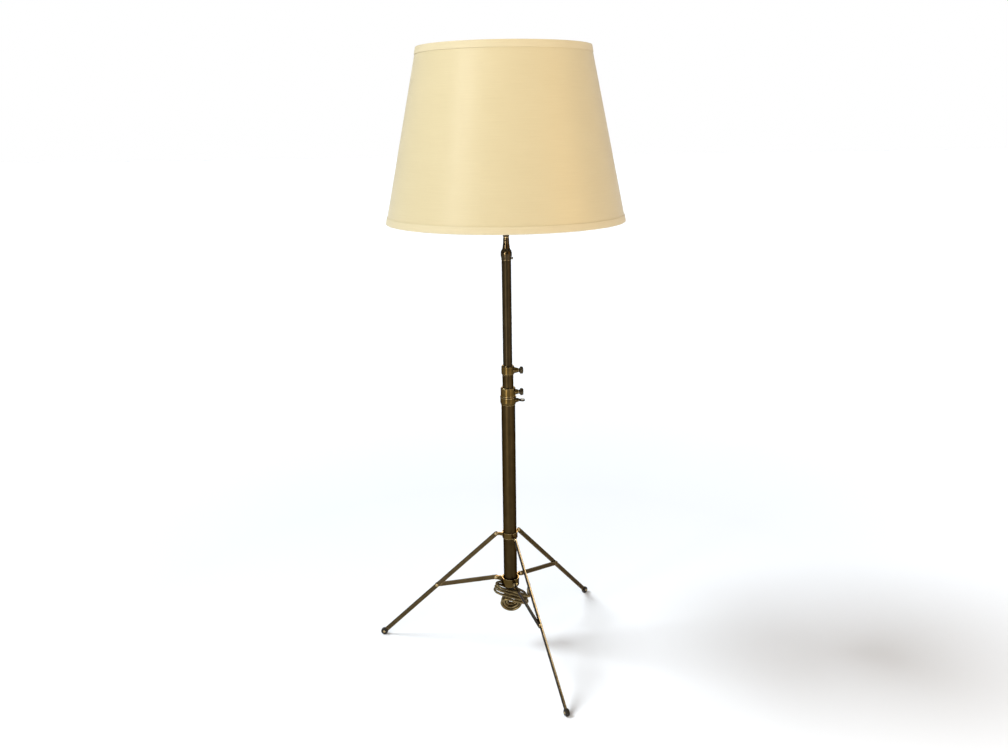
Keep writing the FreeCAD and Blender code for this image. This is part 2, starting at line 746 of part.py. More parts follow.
def glass_side(inset):
    """Radii and heights of one face of the glass, from its foot to its top."""
    ball = lamp_radius - inset
    return ((base_bore - seat_gap - inset, glass_low), (base_bore - seat_gap - inset, base_top),
            (lamp_neck_radius - inset, base_top + 6),
            (lamp_neck_radius + 2.9 - inset, base_top + 21,
             ball * math.cos(tangent), ball_z - ball * math.sin(tangent)),
            (ball, ball_z, 0, ball_z + ball))


outer_glass = turned(*glass_side(0), (0, glass_low))
inner_glass = turned(*glass_side(lamp_glass_wall), (0, glass_low))
save(outer_glass.cut(inner_glass), "lamp_glass")


def arc_at_corner(low, corner, high):
    """Arc that starts at one point, ends at another and points at the corner at both ends."""
    half = (low + high) * 0.5
    rise = corner - half
    half_chord = (high - low).Length / 2
    if rise.Length < half_chord * 1e-4:
        return Part.LineSegment(low, high).toShape()
    sagitta = half_chord * math.tan(math.atan2(rise.Length, half_chord) / 2)
    return Part.Arc(low, half + rise * (sagitta / rise.Length), high).toShape()


def smooth_edges(stations):
    """Smooth line through stations, each a point and a heading, with a pair of arcs between neighbours."""
    edges = []
    for (start, start_way), (end, end_way) in zip(stations, stations[1:]):
        chord = end - start
        square = 2 * (1 - start_way.dot(end_way))
        linear = 2 * chord.dot(start_way + end_way)
        free = -chord.dot(chord)
        if square < 1e-9:
            reach = -free / linear
        else:
            reach = (math.sqrt(linear * linear - 4 * square * free) - linear) / (2 * square)
        first = start + start_way * reach
        last = end - end_way * reach
        middle = (first + last) * 0.5
        edges += [arc_at_corner(start, first, middle), arc_at_corner(middle, last, end)]
    return edges


def bent_edges(points, bend=None):
    """Straight runs with an arc at each corner: of one radius, or the largest that the runs allow."""
    edges = []
    at = points[0]
    for before, corner, after in zip(points, points[1:], points[2:]):
        way_in = (corner - before).normalize()
        way_out = (after - corner).normalize()
        half_turn = way_in.getAngle(way_out) / 2
        if bend:
            cut = bend * math.tan(half_turn)
        else:
            cut = 0.45 * min((corner - before).Length, (after - corner).Length)
            radius = cut / math.tan(half_turn)
            print("arc radius", round(radius, 1), "turn", round(math.degrees(2 * half_turn)))
        low = corner - way_in * cut
        edges.append(Part.LineSegment(at, low).toShape())
        at = corner + way_out * cut
        edges.append(arc_at_corner(low, corner, at))
    edges.append(Part.LineSegment(at, points[-1]).toShape())
    return edges


def swept(edges, profile):
    """Solid of one profile along a smooth line of edges."""
    return Part.Wire(edges).makePipeShell([profile], True, False)


def pipe(edges, radius):
    """Round solid along a smooth line of edges."""
    first = edges[0]
    start = first.valueAt(first.FirstParameter)
    return swept(edges, Part.Wire(Part.makeCircle(radius, start, first.tangentAt(first.FirstParameter))))


# Harp saddle, harp, ferrules and stud

saddle_mid = saddle_z + saddle_thickness / 2
tab_top = shoulder_z + tab_height
half_saddle = [Vector(saddle_flat, 0, saddle_mid), Vector(saddle_half, 0, saddle_mid + saddle_rise),
               Vector(saddle_half, 0, tab_top)]
saddle_line = [Vector(-point.x, 0, point.z) for point in reversed(half_saddle)] + half_saddle
strip_end = block(Vector(-saddle_half - saddle_thickness / 2, -saddle_width / 2, tab_top - 1),
                  Vector(-saddle_half + saddle_thickness / 2, saddle_width / 2, tab_top))
strip_profile = strip_end.Faces[5].OuterWire
saddle = swept(bent_edges(saddle_line, saddle_bend), strip_profile)
saddle = saddle.cut(bar(nipple_hole, Vector(0, 0, saddle_z - 5), Vector(0, 0, saddle_z + 5)))
for side in (-1, 1):
    inner, outer = sorted((side * tab_width / 2, side * saddle_width))
    saddle = saddle.cut(block(Vector(-saddle_half - 5, inner, shoulder_z),
                              Vector(saddle_half + 5, outer, tab_top + 1)))
save(saddle, "harp_saddle")

ferrule_x = saddle_half - saddle_thickness / 2 - 0.95
wire_x = ferrule_x - 0.75
wire_low = shoulder_z + 0.5
wire_top = harp_top - harp_wire_radius
east = Vector(1, 0, 0)
lean = math.radians(harp_lean)
lean_way = Vector(-math.sin(lean), 0, math.cos(lean))
corner_run = harp_corner * math.tan(math.radians(90 - harp_lean) / 2)
corner_start = Vector(harp_flat + corner_run, 0, wire_top) - lean_way * corner_run
harp_half_stations = [(Vector(wire_x, 0, wire_low + harp_straight), up),
                      (Vector(harp_half, 0, wire_low + harp_bulge), up),
                      (corner_start, lean_way), (Vector(harp_flat, 0, wire_top), east * -1)]
harp_edges = [Part.LineSegment(Vector(wire_x, 0, wire_low), harp_half_stations[0][0]).toShape()]
harp_edges += smooth_edges(harp_half_stations)
top_run = (Vector(harp_flat, 0, wire_top), Vector(-harp_flat, 0, wire_top))
harp_edges.append(Part.LineSegment(*top_run).toShape())
mirrored = [(Vector(-point.x, 0, point.z), Vector(way.x, 0, -way.z))
            for point, way in reversed(harp_half_stations)]
harp_edges += smooth_edges(mirrored)
harp_edges.append(Part.LineSegment(mirrored[-1][0], Vector(-wire_x, 0, wire_low)).toShape())
save(pipe(harp_edges, harp_wire_radius), "harp")

for side, name in ((-1, "harp_ferrule_left"), (1, "harp_ferrule_right")):
    ferrule_top = shoulder_z + ferrule_length
    ferrule = turned((ferrule_bore, shoulder_z), (ferrule_radius - 0.4, shoulder_z),
                     (ferrule_radius, shoulder_z + 0.4), (ferrule_radius, ferrule_top - 1.0),
                     (ferrule_radius - 0.6, ferrule_top), (ferrule_bore, ferrule_top))
    ferrule.translate(Vector(side * ferrule_x, 0, 0))
    save(ferrule, name)

stud_top = washer_z + stud_length
stud = turned((0, wire_top - 0.8), (stud_disc_radius - 1.2, wire_top - 0.8), (stud_disc_radius, harp_top),
              (stud_disc_radius, washer_z), (stud_radius, washer_z), (stud_radius, stud_top - 0.8),
              (stud_radius - 0.8, stud_top), (0, stud_top))
stud = stud.cut(bar(harp_wire_radius + seat_gap, Vector(-20, 0, wire_top), Vector(20, 0, wire_top)))
save(stud, "harp_stud")

# Shade: fabric drum, edge tapes, wire rings and spider

slant = Vector(shade_bottom_radius - shade_top_radius, 0, -shade_height)
slant_length = slant.Length
slant_way = slant * (1 / slant_length)
inward = Vector(slant_way.z, 0, -slant_way.x)


def on_wall(along, depth):
    """Radius and height of a point of the shade's wall, from its top edge down and from its outside in."""
    point = Vector(shade_top_radius, 0, shade_top) + slant_way * along + inward * depth
    return (point.x, point.z)


def wall_outline(steps, from_bottom):
    """Points on the wall, mirrored to the bottom edge where asked."""
    return [on_wall(slant_length - along if from_bottom else along, depth) for along, depth in steps]


fabric_inside = tape_thickness + fabric_thickness
fabric_end = slant_length - tape_thickness
fabric = turned(on_wall(tape_thickness, tape_thickness), on_wall(fabric_end, tape_thickness),
                on_wall(fabric_end, fabric_inside), on_wall(tape_thickness, fabric_inside))
save(fabric, "shade_fabric")

ring_depth = fabric_inside + seat_gap + ring_wire_radius
ring_along = tape_thickness + seat_gap + ring_wire_radius
tape_inside = ring_depth + ring_wire_radius + seat_gap
tape_skin = tape_thickness - seat_gap
ring_end = ring_along + ring_wire_radius
tape_steps = ((0, 0), (tape_width, 0), (tape_width, tape_skin), (tape_skin, tape_skin),
              (tape_skin, tape_inside), (ring_end, tape_inside), (ring_end + 1.6, fabric_inside + seat_gap),
              (tape_return, fabric_inside + seat_gap), (tape_return, fabric_inside + tape_skin),
              (ring_end + 2.2, fabric_inside + tape_skin), (ring_end + 0.6, tape_inside + tape_skin),
              (0, tape_inside + tape_skin))
top_ring_radius, top_ring_z = on_wall(ring_along, ring_depth)
bottom_ring_radius, bottom_ring_z = on_wall(slant_length - ring_along, ring_depth)

spoke_z = washer_z + washer_thickness / 2
spoke_line = [Vector(washer_radius - 2, 0, spoke_z), Vector(top_ring_radius - spoke_turn_in, 0, spoke_z),
              Vector(top_ring_radius, 0, top_ring_z)]
spoke_edges = bent_edges(spoke_line, spoke_bend)
spider = ring(washer_radius, stud_radius + running_gap, washer_z, washer_z + washer_thickness)
spider = spider.fuse(Part.makeTorus(top_ring_radius, ring_wire_radius, Vector(0, 0, top_ring_z), up))
top_tape = turned(*wall_outline(tape_steps, False))
tape_slot = spoke_radius + loose_gap
for index in range(3):
    arm = pipe(spoke_edges, spoke_radius)
    notch = block(Vector(top_ring_radius - spoke_turn_in, -tape_slot, shade_top - tape_width - 1),
                  Vector(top_ring_radius + spoke_radius, tape_slot, top_ring_z + tape_slot))
    for piece in (arm, notch):
        piece.rotate(centre, up, 90 + 120 * index)
    spider = spider.fuse(arm)
    top_tape = top_tape.cut(notch)
save(spider, "shade_spider")
save(top_tape, "shade_top_tape")
save(turned(*wall_outline(tape_steps, True)), "shade_bottom_tape")
bottom_ring = Part.makeTorus(bottom_ring_radius, ring_wire_radius, Vector(0, 0, bottom_ring_z), up)
save(bottom_ring, "shade_bottom_ring")

finial_top = finial_z + finial_height
finial_hole = stud_radius + running_gap
ball_low = finial_top - 2 * finial_radius + 0.8
finial = turned((finial_hole, finial_z), (finial_foot_radius, finial_z), (finial_foot_radius, finial_z + 1.6),
                (finial_waist_radius + 0.6, finial_z + 2.8, finial_waist_radius + 0.4, ball_low),
                (finial_radius, (ball_low + finial_top) / 2, 1.5, finial_top), (0, finial_top),
                (0, finial_z + finial_bore_depth), (finial_hole, finial_z + finial_bore_depth))
save(finial, "finial")


# Lamp cord: a short lead, a coil under the hub, and wraps round the coil's top that end at the plug

cord_radius = cord_diameter / 2


def coil_place(turn):
    """Point of the coil's middle line after a number of turns."""
    per_layer = coil_turns / coil_layers
    layer = min(int(turn / per_layer), coil_layers - 1)
    along = turn - layer * per_layer
    depth = along if layer % 2 == 0 else per_layer - along
    climbed = 0.0
    for reversal in range(1, coil_layers):
        step = min(max((turn - reversal * per_layer) * 2 + 0.5, 0.0), 1.0)
        climbed += (1 - math.cos(math.pi * step)) / 2
    angle = math.radians(coil_start_angle) - 2 * math.pi * turn
    inset = coil_pitch * depth
    back = (coil_layers - 1) / 2 - climbed
    return coil_middle + Vector((coil_half_width - inset) * math.cos(angle), coil_pitch * back,
                                (coil_half_height - inset) * math.sin(angle))


def coil_station(turn):
    """Point and heading of the coil's middle line."""
    nudge = 1e-4
    way = coil_place(min(turn + nudge, coil_turns)) - coil_place(max(turn - nudge, 0.0))
    return (coil_place(turn), way.normalize())


def wrap_point(along, side, lift):
    """Point beside the wraps' middle, in their own tilted plane."""
    tilt = math.radians(wrap_tilt)
    return (wrap_middle + Vector(math.cos(tilt), 0, -math.sin(tilt)) * along + Vector(0, side, 0)
            + Vector(math.sin(tilt), 0, math.cos(tilt)) * lift)


def least_gap(points, apart):
    """Least gap between parts of one tube, from points a millimetre apart along it."""
    least = 1e9
    for index, point in enumerate(points):
        for other in points[index + apart:]:
            least = min(least, point.distanceToPoint(other))
    return least - cord_diameter


def spaced(edges):
    """Points a millimetre apart along a line of edges."""
    points = []
    for edge in edges:
        points += edge.discretize(math.ceil(edge.Length) + 1)[:-1]
    return points


quarter_turns = round(coil_turns * 4)
coil_stations = [coil_station(coil_turns * index / quarter_turns) for index in range(quarter_turns + 1)]
coil_edges = smooth_edges(coil_stations)

tilt_way = (wrap_point(1, 0, 0) - wrap_point(0, 0, 0)).normalize()
north = Vector(0, 1, 0)
front = -wrap_half_width
left_reach = -wrap_half_run - wrap_half_width
wrap_stations = [coil_stations[-1], (wrap_point(wrap_entry, front, wrap_lifts[0]), tilt_way)]
for lift, next_lift in zip(wrap_lifts, wrap_lifts[1:]):
    right_run = wrap_half_run - wrap_flare * lift
    wrap_stations += [(wrap_point(right_run, front, lift), tilt_way),
                      (wrap_point(right_run + wrap_half_width, 0, lift), north),
                      (wrap_point(right_run, -front, lift), tilt_way * -1),
                      (wrap_point(-wrap_half_run, -front, next_lift), tilt_way * -1),
                      (wrap_point(left_reach, 0, next_lift), north * -1),
                      (wrap_point(-wrap_half_run, front, next_lift), tilt_way)]
nose_end = plug_place + Vector(0, -plug_nose, 0)
wrap_stations += [(wrap_point(wrap_half_run, front, wrap_lifts[-1]), tilt_way),
                  (nose_end - north * cord_diameter, north), (nose_end, north)]
wrap_edges = smooth_edges(wrap_stations)

coil_start, start_way = coil_stations[0]
lead_run = 8.2
lead_points = [Vector(0, 0, bush_z), Vector(0, 0, bush_z - 6.5), Vector(1.5, 4.4, bush_z - 13.0),
               coil_start - start_way * lead_run, coil_start]
lead_edges = bent_edges(lead_points)
for edges, name in ((lead_edges, "cord_lead"), (coil_edges, "cord_hank"), (wrap_edges, "cord_wraps")):
    tube = pipe(edges, cord_radius)
    length = sum(edge.Length for edge in edges)
    tightest = min(edge.Curve.Radius for edge in edges if hasattr(edge.Curve, "Radius"))
    print(name, "length", round(length, 1), "volume ratio",
          round(tube.Volume / (math.pi * cord_radius ** 2 * length), 4), "tightest", round(tightest, 1),
          "valid", tube.isValid())
    save(tube, name)
route_edges = lead_edges + coil_edges + wrap_edges
print("cord length", round(sum(edge.Length for edge in route_edges), 1),
      "least gap", round(least_gap(spaced(route_edges), 18), 2))

plug_far = plug_place.y + plug_body_length
half_body = Vector(plug_body_thickness / 2, 0, plug_body_width / 2)
plug_body = block(plug_place - half_body, plug_place + half_body + Vector(0, plug_body_length, 0))
plug_body = plug_body.makeFillet(2.2, plug_body.Edges)
nose = Part.makeCone(cord_radius + 0.4, plug_nose_radius, plug_nose + 2.0, nose_end, north)
save(plug_body.fuse(nose), "plug_body")
half_blade = Vector(blade_width / 2, 0, blade_thickness / 2)
blades = []
for side in (-1, 1):
    root = Vector(plug_place.x, plug_far, plug_place.z + side * blade_spacing / 2)
    blades.append(block(root - half_blade, root + half_blade + Vector(0, blade_length, 0)))
save(Part.makeCompound(blades), "plug_blades")
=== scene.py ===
"""Telescoping floor lamp on a folding tripod, dressed over its construction model.

Lengths are in metres, in the frame of the construction model: the origin is on the floor, on the
axis of the post, and +Z points up the post.
"""

import logging
import math
from collections.abc import Callable, Mapping, Sequence
from dataclasses import dataclass, field
from enum import Enum
from typing import Any

import bmesh
import bpy
from mathutils import Matrix, Vector


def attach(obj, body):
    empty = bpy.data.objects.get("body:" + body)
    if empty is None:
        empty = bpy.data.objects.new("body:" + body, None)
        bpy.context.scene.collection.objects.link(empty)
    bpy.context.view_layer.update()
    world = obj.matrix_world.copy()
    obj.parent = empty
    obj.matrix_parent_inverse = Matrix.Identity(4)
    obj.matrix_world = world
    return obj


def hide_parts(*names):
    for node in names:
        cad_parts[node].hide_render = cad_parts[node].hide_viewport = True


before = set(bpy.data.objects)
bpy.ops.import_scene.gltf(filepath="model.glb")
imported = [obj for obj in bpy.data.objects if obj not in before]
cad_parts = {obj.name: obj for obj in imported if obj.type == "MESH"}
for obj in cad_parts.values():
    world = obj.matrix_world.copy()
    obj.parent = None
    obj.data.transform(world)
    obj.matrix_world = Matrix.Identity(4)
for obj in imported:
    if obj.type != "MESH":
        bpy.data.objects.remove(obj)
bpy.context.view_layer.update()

Colour = tuple[float, float, float, float]
Triple = tuple[float, float, float]
Pair = tuple[float, float]

log = logging.getLogger("lamp")


def rgb(red: float, green: float, blue: float) -> Colour:
    """Opaque colour of three linear values."""
    return (red, green, blue, 1.0)


def thrice(*kinds: str) -> tuple[str, ...]:
    """Names of the three pieces of each kind."""
    return tuple("%s_%d" % (kind, number) for kind in kinds for number in (1, 2, 3))


# Node trees

class Wire:
    """Output of a node that adds Math nodes when it is reckoned with."""

    def __init__(self, tree: "Tree", socket: bpy.types.NodeSocket) -> None:
        """Wrap one socket of a tree."""
        self.tree = tree
        self.socket = socket

    def _math(self, operation: str, *values: Any) -> "Wire":
        """Math node of an operation, with wires or numbers in the order of its sockets."""
        return self.tree.add("ShaderNodeMath", {"operation": operation}, dict(enumerate(values)))

    def __add__(self, other: Any) -> "Wire":
        """Sum."""
        return self._math("ADD", self, other)

    def __radd__(self, other: Any) -> "Wire":
        """Sum with a number on the left."""
        return self._math("ADD", other, self)

    def __sub__(self, other: Any) -> "Wire":
        """Difference."""
        return self._math("SUBTRACT", self, other)

    def __rsub__(self, other: Any) -> "Wire":
        """Difference from a number on the left."""
        return self._math("SUBTRACT", other, self)

    def __mul__(self, other: Any) -> "Wire":
        """Product."""
        return self._math("MULTIPLY", self, other)

    def __rmul__(self, other: Any) -> "Wire":
        """Product with a number on the left."""
        return self._math("MULTIPLY", other, self)

    def __truediv__(self, other: Any) -> "Wire":
        """Quotient."""
        return self._math("DIVIDE", self, other)

    def __rtruediv__(self, other: Any) -> "Wire":
        """Quotient of a number on the left."""
        return self._math("DIVIDE", other, self)

    def __pow__(self, other: Any) -> "Wire":
        """Power."""
        return self._math("POWER", self, other)

    def __rpow__(self, other: Any) -> "Wire":
        """Power of a number on the left."""
        return self._math("POWER", other, self)

    def sine(self) -> "Wire":
        """Sine of an angle in radians."""
        return self._math("SINE", self)

    def cosine(self) -> "Wire":
        """Cosine of an angle in radians."""
        return self._math("COSINE", self)

    def between(self, low: float, high: float) -> "Wire":
        """Ramp from 0 at a low value to 1 at a high one, clamped."""
        inputs = {0: self, 1: low, 2: high, 3: 0.0, 4: 1.0}
        return self.tree.add("ShaderNodeMapRange", {"clamp": True}, inputs)


class Tree:
    """Node tree with one method that adds any node."""

    def __init__(self, tree: bpy.types.NodeTree) -> None:
        """Wrap an empty node tree."""
        self.tree = tree

    def add(self, kind: str, settings: Mapping[str, Any] | None = None,
            inputs: Mapping[int | str, Any] | None = None, output: int | str = 0) -> Wire:
        """Add a node.

        Args:
            kind: Type of the node.
            settings: Its properties, set first.
            inputs: Values or links by a socket's number or name.
            output: Socket that is returned.

        Returns:
            The chosen output of the node.
        """
        node = self.tree.nodes.new(kind)
        for name, value in (settings or {}).items():
            setattr(node, name, value)
        for key, value in (inputs or {}).items():
            socket = node.inputs[key]
            if isinstance(value, Wire):
                self.tree.links.new(value.socket, socket)
            else:
                socket.default_value = value
        return Wire(self, node.outputs[output] if node.outputs else None)

    def part(self, vector: Wire, axis: str) -> Wire:
        """One axis of a vector."""
        return self.add("ShaderNodeSeparateXYZ", inputs={0: vector}, output=axis)

    def vector(self, x: Wire | float = 0.0, y: Wire | float = 0.0, z: Wire | float = 0.0) -> Wire:
        """Vector of three wires or numbers."""
        return self.add("ShaderNodeCombineXYZ", inputs={0: x, 1: y, 2: z})


class Shader(Tree):
    """Material's node tree with the nodes that this lamp's finishes share."""

    def __init__(self, name: str) -> None:
        """Make an empty material of that name."""
        self.material = bpy.data.materials.new(name)
        self.material.use_nodes = True
        self.material.node_tree.nodes.clear()
        super().__init__(self.material.node_tree)

    def place(self, kind: str = "Object") -> Wire:
        """Texture coordinate of a kind."""
        return self.add("ShaderNodeTexCoord", output=kind)

    def mapped(self, scale: Triple, kind: str = "Object") -> Wire:
        """Texture coordinate of a kind, times a factor for each axis."""
        return self.add("ShaderNodeMapping", inputs={"Vector": self.place(kind), "Scale": scale})

    def noise(self, vector: Wire, scale: float, detail: float, rough: float) -> Wire:
        """Noise from 0 to 1, by its cells in one unit, its octaves and the finer octaves' share."""
        inputs = {"Vector": vector, "Scale": scale, "Detail": detail, "Roughness": rough}
        return self.add("ShaderNodeTexNoise", inputs=inputs)

    def mix(self, factor: Wire | float, first: Wire | Colour, second: Wire | Colour) -> Wire:
        """Colour between two. The factor is the second one's share."""
        settings = {"data_type": "RGBA", "clamp_factor": True}
        return self.add("ShaderNodeMix", settings, {0: factor, 6: first, 7: second}, 2)

    def edges(self, radius: float, gain: float) -> Wire:
        """Mask of convex and concave edges, 1 at an edge.

        Args:
            radius: Reach of the edge mark: scuffing on mouldings; rubbed metal and a painted
                highlight on metal.
            gain: How soon the mask is full.

        Returns:
            The mask, clamped.
        """
        rounded = self.add("ShaderNodeBevel", {"samples": 6}, {"Radius": radius})
        normal = self.add("ShaderNodeNewGeometry", output="Normal")
        alike = self.add("ShaderNodeVectorMath", {"operation": "DOT_PRODUCT"},
                         {0: rounded, 1: normal}, "Value")
        return ((1.0 - alike) * gain).between(0.0, 1.0)

    def bump(self, height: Wire, distance: float, strength: float) -> Wire:
        """Normal of a bumped surface. A height of 1 is as deep as the distance, in metres."""
        inputs = {"Height": height, "Distance": distance, "Strength": strength}
        return self.add("ShaderNodeBump", inputs=inputs)

    def finish(self, **sockets: Any) -> bpy.types.Material:
        """Close the tree with a Principled shader.

        Args:
            sockets: Values or links, with a socket's name in lower case and underscores.

        Returns:
            The material.
        """
        inputs = {name.replace("_", " ").title().replace("Ior", "IOR"): value
                  for name, value in sockets.items()}
        surface = self.add("ShaderNodeBsdfPrincipled", inputs=inputs)
        self.add("ShaderNodeOutputMaterial", inputs={"Surface": surface})
        return self.material


class Grain(Enum):
    """Way that a metal's fine marks run, as scale factors along the axes."""

    ALONG_POST = (1.0, 1.0, 0.02)
    ROUND_POST = (0.05, 0.05, 1.0)
    NONE = (1.0, 1.0, 1.0)


@dataclass(frozen=True)
class Finish:
    """Named look of a surface, between a deep and a bright colour."""

    name: str
    deep: Colour
    bright: Colour

    def make(self) -> bpy.types.Material:
        """Material of this finish."""
        raise NotImplementedError


@dataclass(frozen=True)
class Metal(Finish):
    """Lacquered or plated metal with fine marks, patches, and rubbed edges lightened further as a
    painted highlight.
    """

    # Colour of the edge mark: rubbed bare metal, and a painted highlight on rims and edges.
    edge: Colour
    rough_low: float
    rough_high: float
    grain: Grain = Grain.NONE
    wear_and_glint: float = 0.6
    wear_and_glint_reach: float = 0.0006
    lacquer: float = 0.0
    rim: Colour = (0.22, 0.18, 0.12, 1.0)
    mark_scale: float = 1900.0
    mark_depth: float = 0.00001
    patch_scale: float = 55.0
    speck_scale: float = 700.0
    wear_and_glint_gain: float = 9.0

    def make(self) -> bpy.types.Material:
        """Material of this metal."""
        tree = Shader(self.name)
        marks = tree.noise(tree.mapped(self.grain.value), self.mark_scale, 3.0, 0.6)
        patches = tree.noise(tree.place(), self.patch_scale, 4.0, 0.62)
        specks = tree.noise(tree.place(), self.speck_scale, 2.0, 0.5)
        cover = (patches * 0.75 + marks * 0.35 - 0.05).between(0.2, 0.85)
        body = tree.mix(cover, self.deep, self.bright)
        # Edge mark: real rubbing, plus a painted highlight that lightens rims and edges as if they
        # caught the light.
        worn_and_glint = tree.edges(self.wear_and_glint_reach, self.wear_and_glint_gain) * (specks * 1.2 + 0.2) * self.wear_and_glint
        colour = tree.mix(worn_and_glint, body, self.edge)
        spread = self.rough_high - self.rough_low
        roughness = (marks * 0.45 + patches * 0.55) * spread + self.rough_low
        normal = tree.bump(marks, self.mark_depth, 0.6)
        return tree.finish(base_color=colour, metallic=1.0, roughness=roughness, normal=normal,
                           specular_tint=self.rim, coat_weight=self.lacquer, coat_roughness=0.12)


@dataclass(frozen=True)
class Moulding(Finish):
    """Plastic, rubber or pressed fibre with a fine moulded grain."""

    rough: float
    scale: float = 900.0
    depth: float = 0.00003
    scuff: Colour | None = None
    scuff_reach: float = 0.0008
    specular: float = 0.5

    def make(self) -> bpy.types.Material:
        """Material of this moulding."""
        tree = Shader(self.name)
        grain = tree.noise(tree.place(), self.scale, 3.0, 0.55)
        clouds = tree.noise(tree.place(), 60.0, 3.0, 0.5)
        colour = tree.mix((clouds * 0.8 + grain * 0.2).between(0.25, 0.75), self.deep, self.bright)
        if self.scuff:
            rubbed = tree.edges(self.scuff_reach, 7.0) * grain.between(0.35, 0.65)
            colour = tree.mix(rubbed * 0.7, colour, self.scuff)
        roughness = grain * 0.16 + (self.rough - 0.08)
        normal = tree.bump(grain, self.depth, 0.7)
        return tree.finish(base_color=colour, roughness=roughness, normal=normal,
                           specular_ior_level=self.specular)


@dataclass(frozen=True)
class SatinCloth(Finish):
    """Woven cloth with thick and thin threads that run round the shade."""

    slub: float = 0.5
    rough: float = 0.31
    thread: float = 0.00038
    relief: float = 0.00014

    def make(self) -> bpy.types.Material:
        """Material of this cloth, on a UV map in metres."""
        tree = Shader(self.name)
        fine = tree.noise(tree.mapped((30.0, 2600.0, 1.0), "UV"), 1.0, 2.0, 0.5)
        slubs = tree.noise(tree.mapped((16.0, 760.0, 1.0), "UV"), 1.0, 3.0, 0.6)
        upright = tree.noise(tree.mapped((1500.0, 40.0, 1.0), "UV"), 1.0, 1.0, 0.5)
        clouds = tree.noise(tree.mapped((9.0, 22.0, 1.0), "UV"), 1.0, 2.0, 0.5)
        across = tree.part(tree.place("UV"), "Y")
        around = tree.part(tree.place("UV"), "X")
        turn = 2.0 * math.pi / self.thread
        weft = (across * turn).sine() * 0.5 + 0.5
        warp = (around * (turn * 0.8)).sine() * 0.5 + 0.5
        thick = slubs.between(0.5, 0.72)
        shade = fine * 0.35 + slubs * 0.45 + clouds * 0.2
        colour = tree.mix(shade.between(0.3, 0.7), self.deep, self.bright)
        height = weft * 0.25 + warp * 0.12 + fine * 0.3 + thick * self.slub + upright * 0.1
        normal = tree.bump(height, self.relief, 0.55)
        roughness = self.rough + fine * 0.12 - thick * 0.05
        return tree.finish(base_color=colour, roughness=roughness, normal=normal,
                           sheen_weight=0.08, sheen_roughness=0.4, specular_ior_level=0.8)


@dataclass(frozen=True)
class ClearCord(Finish):
    """Clear gold cord, with the twisted strands just seen through it."""

    rough: float = 0.10

    def make(self) -> bpy.types.Material:
        """Material of this cord."""
        tree = Shader(self.name)
        clouds = tree.noise(tree.place(), 90.0, 3.0, 0.5)
        strands = tree.noise(tree.mapped((1.0, 1.0, 1.0)), 1400.0, 2.0, 0.5)
        body = tree.mix(clouds.between(0.3, 0.7), self.deep, self.bright)
        colour = tree.mix(strands.between(0.45, 0.75) * 0.35, body, self.bright)
        normal = tree.bump(clouds, 0.0002, 0.35)
        return tree.finish(base_color=colour, metallic=0.75, roughness=self.rough + clouds * 0.08,
                           normal=normal, coat_weight=0.3, coat_roughness=0.05,
                           specular_tint=rgb(0.55, 0.45, 0.28))


@dataclass(frozen=True)
class CoatedGlass(Finish):
    """Glass with a soft coating inside."""

    def make(self) -> bpy.types.Material:
        """Material of this glass."""
        tree = Shader(self.name)
        clouds = tree.noise(tree.place(), 40.0, 2.0, 0.5)
        colour = tree.mix(clouds, self.deep, self.bright)
        normal = tree.bump(tree.noise(tree.place(), 900.0, 2.0, 0.5), 0.00001, 0.5)
        return tree.finish(base_color=colour, roughness=clouds * 0.08 + 0.18, normal=normal,
                           subsurface_weight=0.15, subsurface_scale=0.004)


# Named finishes

BRONZE = Metal("antique_bronze", rgb(0.025, 0.0155, 0.0055), rgb(0.058, 0.038, 0.0145),
               rgb(0.26, 0.18, 0.08), 0.27, 0.42, Grain.ALONG_POST, 0.4)
# Darker copy of the tube bronze: painted shade on the upper tube, which stands under the lampshade.
SHADED_UPPER_BRONZE = Metal("shaded_upper_bronze", rgb(0.018, 0.0117, 0.0044), rgb(0.043, 0.029, 0.0115),
                     rgb(0.26, 0.185, 0.085), 0.25, 0.40, Grain.ALONG_POST, 0.4, lacquer=0.06)
# Strong edge mark: rubbed edges plus a painted highlight along the legs' and braces' edges.
LEG_BRONZE = Metal("leg_bronze", rgb(0.042, 0.027, 0.009), rgb(0.100, 0.067, 0.026),
                   rgb(0.75, 0.55, 0.30), 0.18, 0.32, Grain.NONE, 1.0, 0.0008, lacquer=0.2)
# Strong edge mark: rubbed edges plus a painted highlight on the rims of hubs, collars and clamps.
AGED_BRASS = Metal("aged_brass", rgb(0.042, 0.025, 0.005), rgb(0.122, 0.077, 0.022),
                   rgb(0.74, 0.56, 0.29), 0.12, 0.26, Grain.ROUND_POST, 1.3, 0.0009, lacquer=0.06)
DARK_BRASS = Metal("dark_brass", rgb(0.028, 0.020, 0.010), rgb(0.075, 0.056, 0.030),
                   rgb(0.40, 0.30, 0.17), 0.16, 0.32, Grain.NONE, 1.0, lacquer=0.2)
NECK_BRONZE = Metal("neck_bronze", rgb(0.019, 0.012, 0.004), rgb(0.060, 0.039, 0.015),
                    rgb(0.55, 0.41, 0.22), 0.14, 0.26, Grain.ROUND_POST, 0.9, lacquer=0.15)
BRIGHT_BRASS = Metal("bright_brass", rgb(0.48, 0.32, 0.11), rgb(0.72, 0.52, 0.22),
                     rgb(0.88, 0.70, 0.38), 0.16, 0.34, Grain.ROUND_POST, 0.5)
PLATED_STEEL = Metal("brassed_steel", rgb(0.30, 0.21, 0.095), rgb(0.52, 0.39, 0.20),
                     rgb(0.66, 0.55, 0.36), 0.28, 0.5, Grain.NONE, 0.4)
RIVET_STEEL = Metal("rivet_steel", rgb(0.25, 0.18, 0.09), rgb(0.50, 0.38, 0.20),
                    rgb(0.80, 0.64, 0.40), 0.24, 0.44, Grain.NONE, 0.8)
